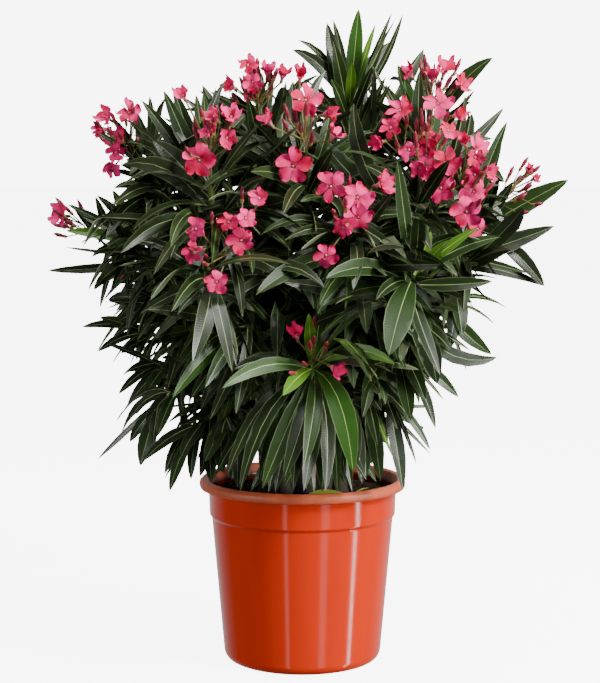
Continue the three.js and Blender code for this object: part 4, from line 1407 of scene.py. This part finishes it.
LEAF_THICKNESS = 0.0006
LEAF_STALK_WIDTH = 0.0024
LEAF_FOLD = (0.26, 0.14)  # the mean slope of a blade's halves, and how far a leaf's own may differ
LEAF_RIPPLE = 0.09
RIB_WIDTH = 0.0010
KEEL_DEPTH = 0.0011
LEAF_STEPS = 20
BEND = 1.9
CROWN_FLOOR = 0.2
CROWN_FOOT_RADIUS = 0.137
CROWN_FOOT_LEVEL = 0.225
CROWN_SPREAD = 0.68
CROWN_SIDES = np.array([
    # height, and how far the crown's full foliage reaches to the left and to the right there
    (0.200, -0.100, 0.085), (0.249, -0.135, 0.095), (0.276, -0.158, 0.108), (0.303, -0.180, 0.128),
    (0.358, -0.205, 0.155), (0.412, -0.222, 0.190), (0.440, -0.235, 0.220), (0.466, -0.245, 0.225),
    (0.494, -0.240, 0.230), (0.521, -0.212, 0.232), (0.548, -0.205, 0.225), (0.575, -0.215, 0.215),
    (0.603, -0.230, 0.205), (0.630, -0.224, 0.188), (0.658, -0.110, 0.200), (0.668, 0.026, 0.205),
    (0.684, 0.033, 0.205), (0.705, 0.030, 0.140), (0.742, 0.050, 0.108),
])
EDGE = 0.002  # kept between a leaf and the reach
SHORTER = 0.88
LEAST_LENGTH = 0.08
CLEAR_OF_FOOT = 0.016
CLEAR_OVER_RIM = 0.004
CLEAR_ROUND_RIM = 0.005
CLEAR_SIGHT = 0.11
LEAF_FACING = np.array([0.05, -0.9, 0.42])
SHOWN_SWAY = 0.8
SHOWN_ROLL = 0.45
CORRECTIONS = 12

# The leaves that stand out, by the mass that they grow on: the share of its leading twig where each
# starts, or below 0 that of its bough back from the twig, the place of its tip in millimetres, its hang,
# its width in millimetres, and its tone.
SHOWN_LEAVES = {
    "crown_tip": [
        (1.0, (63, 0, 740), 0, 18, "fresh"), (0.8, (27, -30, 722), -0.3, 19, "grey"),
        (1.0, (34, -10, 727), 0.3, 10, "grey"), (0.8, (34, -40, 701), 0.1, 16, "deep"),
        (1.0, (-5, -40, 702), 0.45, 9, "deep"), (1.0, (-11, -50, 691), 0.4, 15, "grey"),
        (1.0, (82, 0, 723), 0.1, 8, "young"), (0.9, (101, 10, 737), -0.05, 7, "deep"),
        (1.0, (114, 20, 736), -0.9, 8, "grey"), (0.8, (94, 0, 711), 0, 9, "grey"),
        (0.7, (31, -50, 660), 0.2, 12, "mid"), (0.6, (77, -40, 674), 0.1, 10, "deep"),
        (1.0, (54, -60, 677), 0, 12, "young"), (-0.1, (83, -30, 657), 0.3, 14, "mid"),
        (-0.15, (98, -40, 655), 0.4, 15, "deep"), (-0.1, (73, -20, 680), 0.1, 7, "mid"),
        (-0.1, (92, -40, 663), 0.3, 13, "deep"),
    ],
    "top_left": [
        (0.6, (-46, 10, 670), 0.1, 12, "deep"), (0.6, (-78, -40, 646), 0.3, 14, "mid"),
        (0.3, (-102, -30, 642), 0.1, 12, "deep"), (0.2, (-133, -20, 641), 0.1, 12, "grey"),
        (0.4, (-60, -50, 639), 0.1, 14, "deep"), (0.4, (-3, -20, 662), 0.1, 13, "grey"),
    ],
    "top_right": [
        (1.0, (213, -10, 685), 0.35, 19, "mid"), (0.6, (192, -20, 649), 0, 7, "grey"),
        (0.6, (106, -20, 677), 0.1, 15, "grey"), (0.4, (92, -20, 655), 0.1, 15, "deep"),
        (0.3, (92, -20, 655), 0.1, 15, "deep"), (0.2, (100, -30, 646), 0.2, 16, "mid"),
        (0.5, (113, -20, 660), 0.1, 16, "fresh"), (0.3, (75, -30, 679), 0, 6, "deep"),
        (0.1, (105, -40, 637), 0.2, 17, "deep"), (0.3, (105, -25, 675), 0.15, 12, "mid"),
        (0.2, (112, -40, 650), 0.2, 12, "deep"),
    ],
    "left_front": [
        (0.5, (-151, -70, 646), 0.1, 18, "deep"), (0.5, (-141, -60, 649), 0.05, 18, "deep"),
        (0.6, (-115, -80, 641), 0.1, 15, "mid"), (0.5, (-95, -60, 649), 0.05, 15, "deep"),
        (0.4, (-176, -60, 636), 0.2, 16, "deep"), (0.3, (-188, -170, 565), 0.5, 22, "grey"),
        (0.4, (-158, -140, 591), 0.3, 24, "grey"), (0.5, (-108, -60, 645), 0.1, 15, "mid"),
    ],
    "left_shoulder": [
        (0.5, (-229, -40, 602), 0.3, 8, "deep"), (0.4, (-216, -40, 560), 0.3, 7, "grey"),
        (0.7, (-212, -20, 619), 0.1, 10, "deep"), (0.5, (-171, -10, 643), 0.1, 12, "deep"),
        (0.3, (-186, -30, 628), 0.15, 12, "grey"), (0.2, (-213, -20, 593), 0.3, 9, "mid"),
        (0.6, (-220, -30, 606), 0.1, 8, "deep"), (0.1, (-202, -40, 566), 0.4, 10, "mid"),
        (-0.1, (-202, -30, 560), 0.4, 10, "mid"), (0, (-200, -40, 545), 0.5, 9, "deep"),
        (0.1, (-192, -50, 573), 0.3, 13, "deep"),
    ],
    "left_arm": [
        (0.4, (-265, -30, 474), 0, 4, "deep"), (0, (-285, -30, 448), -0.05, 12, "deep"),
        (0.5, (-239, -40, 426), 0.9, 5, "deep"), (0.6, (-235, -30, 464), 0.9, 7, "deep"),
        (0.7, (-227, -30, 406), 0.8, 7, "grey"), (0.6, (-192, -60, 418), 0.3, 6, "deep"),
        (0.3, (-190, -50, 430), 0.5, 6, "deep"), (-0.1, (-230, -40, 357), 0.9, 7, "deep"),
        (-0.2, (-216, -50, 383), 0.8, 8, "mid"), (1.0, (-257, -30, 522), 0.05, 8, "deep"),
        (0.8, (-229, -45, 531), 0.05, 10, "mid"),
    ],
    "left_face": [
        (0.7, (-110, -250, 369), 0.75, 20, "grey"), (0.6, (-132, -235, 418), 0.8, 15, "deep"),
        (0.5, (-154, -225, 429), 0.8, 15, "mid"), (0.8, (-70, -255, 359), 0.6, 15, "deep"),
        (0.5, (-186, -200, 479), 0.8, 12, "grey"),
    ],
    "centre_head": [
        (0.5, (-54, -170, 558), 0.3, 15, "mid"), (0.4, (31, -160, 581), 0.15, 15, "deep"),
        (0.6, (-20, -200, 514), 0.4, 13, "deep"),
    ],
    "front_head": [
        (0.7, (76, -225, 472), 0.9, 13, "grey"), (0.5, (-2, -215, 479), 0.6, 13, "deep"),
        (0.4, (95, -180, 539), 0.1, 12, "mid"), (0.7, (-18, -215, 489), 0.5, 10, "deep"),
    ],
    "right_front": [
        (1.0, (220, -60, 628), -0.25, 13, "deep"), (0.4, (63, -170, 565), 0.3, 14, "grey"),
        (0.4, (152, -170, 570), 0.1, 15, "deep"),
    ],
    "right_shoulder": [
        (0.8, (224, -60, 613), 0.25, 14, "mid"), (0.6, (218, -60, 588), 0.05, 13, "deep"),
        (0.3, (122, -170, 488), 0.7, 14, "grey"),
    ],
    "right_arm": [
        (0.6, (301, 0, 549), 0.05, 25, "mid"), (-0.15, (286, 0, 497), -0.1, 26, "grey"),
        (1.0, (276, 5, 428), 0.6, 18, "grey"), (-0.2, (246, -20, 496), 0, 15, "mid"),
        (-0.1, (277, 10, 428), 0.35, 15, "deep"), (0, (255, -10, 444), 0.08, 10, "deep"),
        (-0.2, (214, 0, 433), 0, 4, "deep"), (0.8, (218, -40, 552), 0.1, 17, "deep"),
        (1.0, (237, -10, 547), 0.1, 13, "grey"),
    ],
    "right_face": [
        (0.9, (85, -270, 377), 0.4, 29, "mid"), (0.8, (96, -200, 570), 0.02, 15, "mid"),
        (0.8, (64, -230, 516), 0.9, 13, "grey"), (1.0, (132, -190, 497), 0, 13, "young"),
        (0.9, (149, -205, 489), 0.1, 11, "young"), (0.6, (195, -190, 446), -0.1, 16, "deep"),
        (0.8, (204, -180, 491), 0.3, 15, "mid"), (0.7, (180, -190, 501), 0.2, 11, "young"),
        (0.6, (138, -240, 355), 0.8, 16, "deep"), (0.7, (73, -250, 431), 0.4, 13, "deep"),
    ],
    "front_tuft": [
        (1.0, (-20, -235, 333), 0.3, 15, "young"), (1.0, (50, -268, 261), 0.75, 25, "fresh"),
        (1.0, (6, -215, 415), 0, 13, "young"), (0.7, (26, -190, 463), 0.05, 10, "fresh"),
        (1.0, (93, -238, 365), 0.55, 15, "young"), (0.9, (70, -232, 353), 1, 13, "fresh"),
        (0.9, (-81, -240, 341), 0.7, 16, "fresh"), (0.7, (-64, -225, 233), 0.8, 17, "deep"),
        (0.7, (-41, -240, 239), 0.9, 21, "mid"), (0.7, (-19, -250, 251), 0.9, 21, "deep"),
        (0.6, (1, -255, 264), 0.9, 18, "mid"), (0.5, (-78, -215, 247), 0.8, 14, "deep"),
        (0.4, (23, -230, 234), 0.8, 17, "grey"), (0.5, (1, -240, 236), 0.9, 18, "deep"),
        (0.8, (76, -240, 350), 0.8, 17, "grey"), (-0.1, (-45, -200, 238), 0.8, 17, "deep"),
        (-0.15, (-28, -205, 229), 0.9, 17, "grey"), (-0.2, (-10, -200, 228), 0.9, 18, "deep"),
        (-0.1, (12, -200, 228), 0.9, 17, "deep"), (-0.15, (36, -190, 226), 0.9, 17, "mid"),
        (-0.2, (52, -180, 225), 0.9, 13, "deep"), (-0.25, (-93, -170, 238), 0.8, 15, "deep"),
        (-0.3, (44, -185, 242), 0.9, 17, "deep"), (-0.35, (-55, -165, 222), 0.9, 17, "deep"),
        (-0.4, (-36, -160, 221), 0.9, 17, "deep"), (-0.35, (21, -160, 221), 0.9, 17, "deep"),
        (-0.45, (-43, -150, 228), 0.85, 17, "deep"), (-0.5, (-19, -145, 224), 0.85, 18, "mid"),
        (-0.5, (4, -140, 220), 0.9, 18, "deep"), (-0.45, (25, -145, 222), 0.85, 17, "deep"),
        (-0.5, (47, -140, 224), 0.85, 17, "mid"), (-0.3, (-7, -175, 236), 0.9, 17, "grey"),
        (-0.3, (68, -150, 232), 0.8, 15, "deep"),
    ],
    "left_middle": [
        (0.4, (-133, -215, 328), 0.5, 16, "fresh"), (0.5, (-99, -225, 340), 0.5, 15, "mid"),
        (0.7, (-53, -235, 374), 0.6, 13, "deep"), (0.7, (-116, -200, 324), 0.8, 13, "deep"),
        (0.6, (-96, -190, 302), 0.9, 13, "grey"), (0.9, (-69, -200, 309), 0.9, 13, "deep"),
        (0.8, (-127, -190, 344), 0.6, 11, "deep"),
    ],
}


def leaf_line(root, way, across, length, hang, sway):
    """Each leaf's middle line: step by step its heading is the unit of way - BEND hang s up + sway s across,
    with s the share of the length, so that it bends down and aside as it goes."""
    s = ((np.arange(LEAF_STEPS) + 0.5) / LEAF_STEPS)[None, :, None]
    heading = unit(
        way[:, None] - UP * BEND * hang[:, None, None] * s + across[:, None] * sway[:, None, None] * s
    )
    moved = np.cumsum(heading * (length / LEAF_STEPS)[:, None, None], 1)
    return np.concatenate([root[:, None], root[:, None] + moved], 1)


def lines_of(rows):
    """The ways across the blades of rows of leaves, and their middle lines. A row has a leaf's root, way
    and the axis it is folded to, then its length, breadth, hang, roll and sway."""
    across = unit(np.cross(rows[:, 3:6], rows[:, 6:9]))
    return across, leaf_line(rows[:, :3], rows[:, 3:6], across, rows[:, 9], rows[:, 11], rows[:, 13])


def beyond_reach(line, breadth):
    """Whether a leaf's line leaves the crown's reach, which has its sides and low down is a cone round the
    pot, or enters the pot or the space above the soil."""
    margin = (EDGE + 0.5 * breadth)[:, None, None]
    low = np.array([*solid_low[:2], CROWN_FLOOR])
    outside = ((line[:, 3:] < low + margin) | (line[:, 3:] > np.array(solid_high) - 0.5 * margin)).any((1, 2))
    from_axis = np.hypot(line[..., 0], line[..., 1])
    foot = CROWN_FOOT_RADIUS + CROWN_SPREAD * (line[..., 2] - CROWN_FOOT_LEVEL)
    outside |= (from_axis > foot - CLEAR_OF_FOOT)[:, 3:].any(1)
    left, right = (np.interp(line[..., 2], CROWN_SIDES[:, 0], CROWN_SIDES[:, i]) for i in (1, 2))
    outside |= ((line[..., 0] < left) | (line[..., 0] > right))[:, 3:].any(1)
    over_pot = (line[..., 2] < POT_TOP + CLEAR_OVER_RIM) & (from_axis < POT_RIM + CLEAR_ROUND_RIM)
    return outside | over_pot.any(1)


def before_blossoms(line, breadth):
    """Whether a leaf's line passes through a blossom, or stands in the clear space before it: the distance
    from a point p of the line to the segment m + t d, for t from 0 to CLEAR_SIGHT, is under its radius."""
    mouth = blossom_foot + blossom_axis * funnel_length[:, None]
    radius = PETAL_REACH * blossom_table[:, 7]
    hidden = np.zeros(len(line), bool)
    for k in range(len(mouth)):
        ahead = blossom_axis[k] if mouth[k, 1] > 0 else unit(blossom_axis[k] + [0, -1.0, 0.1])
        offset = line - mouth[k]
        t = np.clip(offset @ ahead, 0, CLEAR_SIGHT)
        gap = np.linalg.norm(offset - t[..., None] * ahead, axis=-1).min(1)
        hidden |= gap < 0.85 * radius[k] + 0.35 * breadth
    return hidden


def fitted(rows):
    """The rows that fit in the crown: leaves beyond its reach are cut to SHORTER of their length, up to
    twice, as in the source's rule, and those that still don't fit, or hide a blossom, are left out."""
    rows = np.array(rows)
    for _ in range(2):
        line = lines_of(rows)[1]
        rows[:, 9] *= np.where(beyond_reach(line, rows[:, 10]), SHORTER, 1)
    line = lines_of(rows)[1]
    dropped = beyond_reach(line, rows[:, 10]) | before_blossoms(line, rows[:, 10])
    return rows[~dropped & (rows[:, 9] > LEAST_LENGTH)]


def shown_leaf(root, tip, hang, breadth):
    """The row of a leaf from root to tip, whose upper face looks outwards: its way and length are corrected
    by the miss of its end, as way + (tip - end) / length and length |tip - root| / |end - root|, time
    after time. A limp leaf also sways aside and turns as it goes, by the sines of its tip's place."""
    sway = SHOWN_SWAY * math.sin(900 * tip[0]) if hang > 0.55 else 0.0
    roll = SHOWN_ROLL * math.sin(1700 * tip[0]) if hang > 0.35 else 0.0
    way = unit(tip - root)
    length = np.linalg.norm(tip - root)
    for _ in range(CORRECTIONS):
        row = np.array([(*root, *way, *LEAF_FACING, length, breadth, hang, roll, sway)])
        end = lines_of(row)[1][0, -1]
        way = unit(way + (tip - end) / length)
        length *= np.linalg.norm(tip - root) / np.linalg.norm(end - root)
    return (*root, *way, *LEAF_FACING, length, breadth, hang, roll, sway)


def leaf_skins(rows):
    """Leaves as closed blades. On each ring of a leaf's line, x runs across and z up from the blade: the
    half width is W/2 sin(pi s^1.12)^0.75, or a stalk's, and the top is
    z = fold |x| (1 - x^2 / 3 half^2) + ripple, with a fold of the leaf's own. The underside lies a
    thickness below it, and the midrib's keel deepest. Returned are rings, poles and each point's pair
    (x across from 0 to 1, s along times the length)."""
    across, line = lines_of(rows)
    length, breadth, _, roll, _ = rows[:, 9:].T
    stations = np.array([0, 1, 3, 5, 8, 11, 14, 17, 19])
    s = (stations / LEAF_STEPS)[None, :]
    centre = line[:, stations]
    heading = unit(line[:, stations + 1] - line[:, stations])
    side = unit(across[:, None] - heading * (heading * across[:, None]).sum(-1, keepdims=True))
    top = np.cross(side, heading)
    spin = (roll[:, None] * s)[..., None]
    side, top = side * np.cos(spin) + top * np.sin(spin), top * np.cos(spin) - side * np.sin(spin)
    blade = breadth[:, None] / 2 * np.sin(math.pi * s ** 1.12) ** 0.75
    half = np.maximum(blade, LEAF_STALK_WIDTH / 2 * (1 - s))
    rib = np.minimum(RIB_WIDTH / 2 * (1 - 0.75 * s), 0.4 * half)
    x = np.stack([
        -half, -0.52 * half, -rib, rib, 0.52 * half, half, 0.5 * half, rib, 0 * half, -rib, -0.5 * half,
    ], -1)
    phase = (length * 900)[:, None, None]
    share = x / half[..., None]
    ripple = LEAF_RIPPLE * half[..., None] * np.sin(7 * s[..., None] + phase + np.sign(x)) * share ** 2
    fold = LEAF_FOLD[0] + LEAF_FOLD[1] * np.sin(7 * phase)
    z = fold * np.abs(x) * (1 - share ** 2 / 3) + ripple
    z[..., 6:] -= LEAF_THICKNESS
    z[..., 8] -= KEEL_DEPTH * (1 - 0.8 * s)
    rings = centre[:, :, None] + side[:, :, None] * x[..., None] + top[:, :, None] * z[..., None]
    poles = np.stack([line[:, 0] - 0.001 * rows[:, 3:6], line[:, -1]], 1)
    along = np.broadcast_to((s * length[:, None])[..., None], x.shape)
    uv = np.stack([0.5 + 0.5 * share, along], -1).reshape(len(x), -1, 2)
    ends = np.stack([np.full((len(x), 2), 0.5), np.stack([0 * length, length], -1)], -1)
    return rings, poles, np.concatenate([uv, ends], 1).reshape(-1, 2)


# Oleander leaf: a leathery blade with a satin wax coat, dark above and dull grey-green below, with fine
# side veins nearly square to the midrib. They are drawn 3 mm apart, coarser than life, to show.
VEIN_SPACING = 0.003


def blade_material(name, dark, pale, roughness, edge="#7c8a5e"):
    """A leaf surface: noise mottles two greens, vein waves along the leaf lighten them and rise, and the
    thin margin is pale: partly the leaf's own pale rim, partly a painted highlight along the edge."""
    material, tree, shader = new_material(name)
    place_node = add_node(tree, "ShaderNodeTexCoord")
    mottle = add_node(
        tree,
        "ShaderNodeTexNoise",
        inputs={"Vector": place_node.outputs["Object"], "Scale": 35.0, "Detail": 3.0},
    )
    base = add_node(
        tree,
        "ShaderNodeMix",
        {"data_type": "RGBA"},
        {0: mottle.outputs["Fac"], 6: linear(dark), 7: linear(pale)},
    )
    across_along = add_node(tree, "ShaderNodeSeparateXYZ", inputs={"Vector": place_node.outputs["UV"]})
    from_rib = add_node(
        tree, "ShaderNodeMath", {"operation": "SUBTRACT"}, {0: across_along.outputs["X"], 1: 0.5}
    )
    off_rib = add_node(tree, "ShaderNodeMath", {"operation": "ABSOLUTE"}, {0: from_rib.outputs[0]})
    slant = add_node(
        tree,
        "ShaderNodeMath",
        {"operation": "MULTIPLY_ADD"},
        {0: off_rib.outputs[0], 1: -0.006, 2: across_along.outputs["Y"]},
    )
    vein_turn = add_node(
        tree,
        "ShaderNodeMath",
        {"operation": "MULTIPLY"},
        {0: slant.outputs[0], 1: 2 * math.pi / VEIN_SPACING},
    )
    wave = add_node(tree, "ShaderNodeMath", {"operation": "SINE"}, {0: vein_turn.outputs[0]})
    vein = add_node(
        tree,
        "ShaderNodeMapRange",
        inputs={"Value": wave.outputs[0], "From Min": 0.4, "From Max": 1.0, "To Max": 0.17},
    )
    colour = add_node(
        tree,
        "ShaderNodeMix",
        {"data_type": "RGBA"},
        {0: vein.outputs["Result"], 6: base.outputs[2], 7: linear(pale)},
    )
    # The pale margin is partly the leaf's own pale rim and partly a painted highlight of the shine along its
    # edge.
    margin = add_node(
        tree,
        "ShaderNodeMapRange",
        inputs={"Value": off_rib.outputs[0], "From Min": 0.45, "From Max": 0.49, "To Max": 0.55},
    )
    margin_tone_and_highlight = add_node(
        tree,
        "ShaderNodeMix",
        {"data_type": "RGBA"},
        {0: margin.outputs["Result"], 6: colour.outputs[2], 7: linear(edge)},
    )
    bump = add_node(
        tree,
        "ShaderNodeBump",
        inputs={"Height": vein.outputs["Result"], "Strength": 0.45, "Distance": 0.001},
    )
    tree.links.new(margin_tone_and_highlight.outputs[2], shader.inputs["Base Color"])
    tree.links.new(bump.outputs["Normal"], shader.inputs["Normal"])
    shader.inputs["Roughness"].default_value = roughness
    shader.inputs["Specular IOR Level"].default_value = 0.3
    return material


underside = blade_material("dull_leaf_underside", "#28351d", "#455236", 0.55)
midrib = smooth_finish("pale_midrib", "#75874d", "#a5b377")
young_midrib = smooth_finish("pale_young_midrib", "#8fa750", "#b9cb78")
young_underside = blade_material("young_leaf_underside", "#3f5c20", "#64823a", 0.5)
old_parts = [midrib, underside]
young_parts = [young_midrib, young_underside]
leaf_finishes = {
    # The inner leaves' blade is paler than the deep, mid and grey ones: painted fill light that lifts the
    # shade inside the crown.
    "inner": [blade_material("inner_blade_lightened_by_painted_light", "#223016", "#364b22", 0.4), *old_parts],
    "deep": [blade_material("deep_green_waxed_blade", "#141f0d", "#233416", 0.3), *old_parts],
    "mid": [blade_material("mid_green_waxed_blade", "#192910", "#2c431b", 0.32), *old_parts],
    "grey": [blade_material("greyed_green_waxed_blade", "#1a2214", "#2c3622", 0.28), *old_parts],
    "fresh": [blade_material("fresh_green_blade", "#1e3c0d", "#325a17", 0.34), *young_parts],
    "young": [blade_material("bright_green_young_blade", "#38630f", "#5a8620", 0.38), *young_parts],
}
LEAF_COLUMNS = [0, 0, 1, 0, 0, 2, 2, 1, 1, 2, 2]  # which of a finish's three each face column takes
LEAF_CREASE = 60.0

shown_rows = {tone: [] for tone in leaf_finishes}
for mass_name, shown in SHOWN_LEAVES.items():
    at, aim = seat(mass_name)
    for share, tip, hang, width, tone in shown:
        root = at + aim * share * TWIG_LENGTH
        if share < 0:
            root = point_on(bough_lines[mass_name], 1 + share)[0]
        shown_rows[tone].append(shown_leaf(root, np.array(tip) / 1000, hang, width / 1000))
for root, tip, hang, breadth, tone in shoot_leaves:
    shown_rows[tone].append(shown_leaf(root, tip, hang, breadth))
for tone, finish in leaf_finishes.items():
    kept_rows = [*fitted(leaf_rows[tone]), *shown_rows[tone]] if leaf_rows[tone] else shown_rows[tone]
    rings, poles, uv = leaf_skins(np.array(kept_rows))
    piece_name = "leaves_" + tone
    skin_piece(piece_name, rings, poles, finish, "foliage", foliage_nodes, LEAF_COLUMNS, uv, LEAF_CREASE)


# ------------------------------------------------------------------------------------- fallen leaves
# A shed leaf, gone yellow-green, sticks out inwards from the lip at the front, above the soil, and another
# like it rests on the crumbs of peat at the right.

fallen_rows = np.array([
    # root, way, the axis it is folded to, length, breadth, hang, roll and sway
    (0.008, -0.1, SOIL_LEVEL + 0.0175, 1, -0.05, 0.02, 0, -0.6, 0.8, 0.036, 0.011, 0.0, 0.3, 0.0),
    (0.062, -0.02, SOIL_LEVEL + 0.005, 0.7, 0.5, 0.1, 0, 0, 1, 0.034, 0.013, 0.1, 0.5, 0.2),
])
fallen_rows[:, 3:6] = unit(fallen_rows[:, 3:6])
shed_blade = blade_material("shed_yellow_green_blade", "#8aa032", "#b3b84c", 0.5)
shed_finish = [shed_blade, young_midrib, shed_blade]
rings, poles, uv = leaf_skins(fallen_rows)
skin_piece("shed_leaves", rings, poles, shed_finish, "foliage", [], LEAF_COLUMNS, uv, LEAF_CREASE)
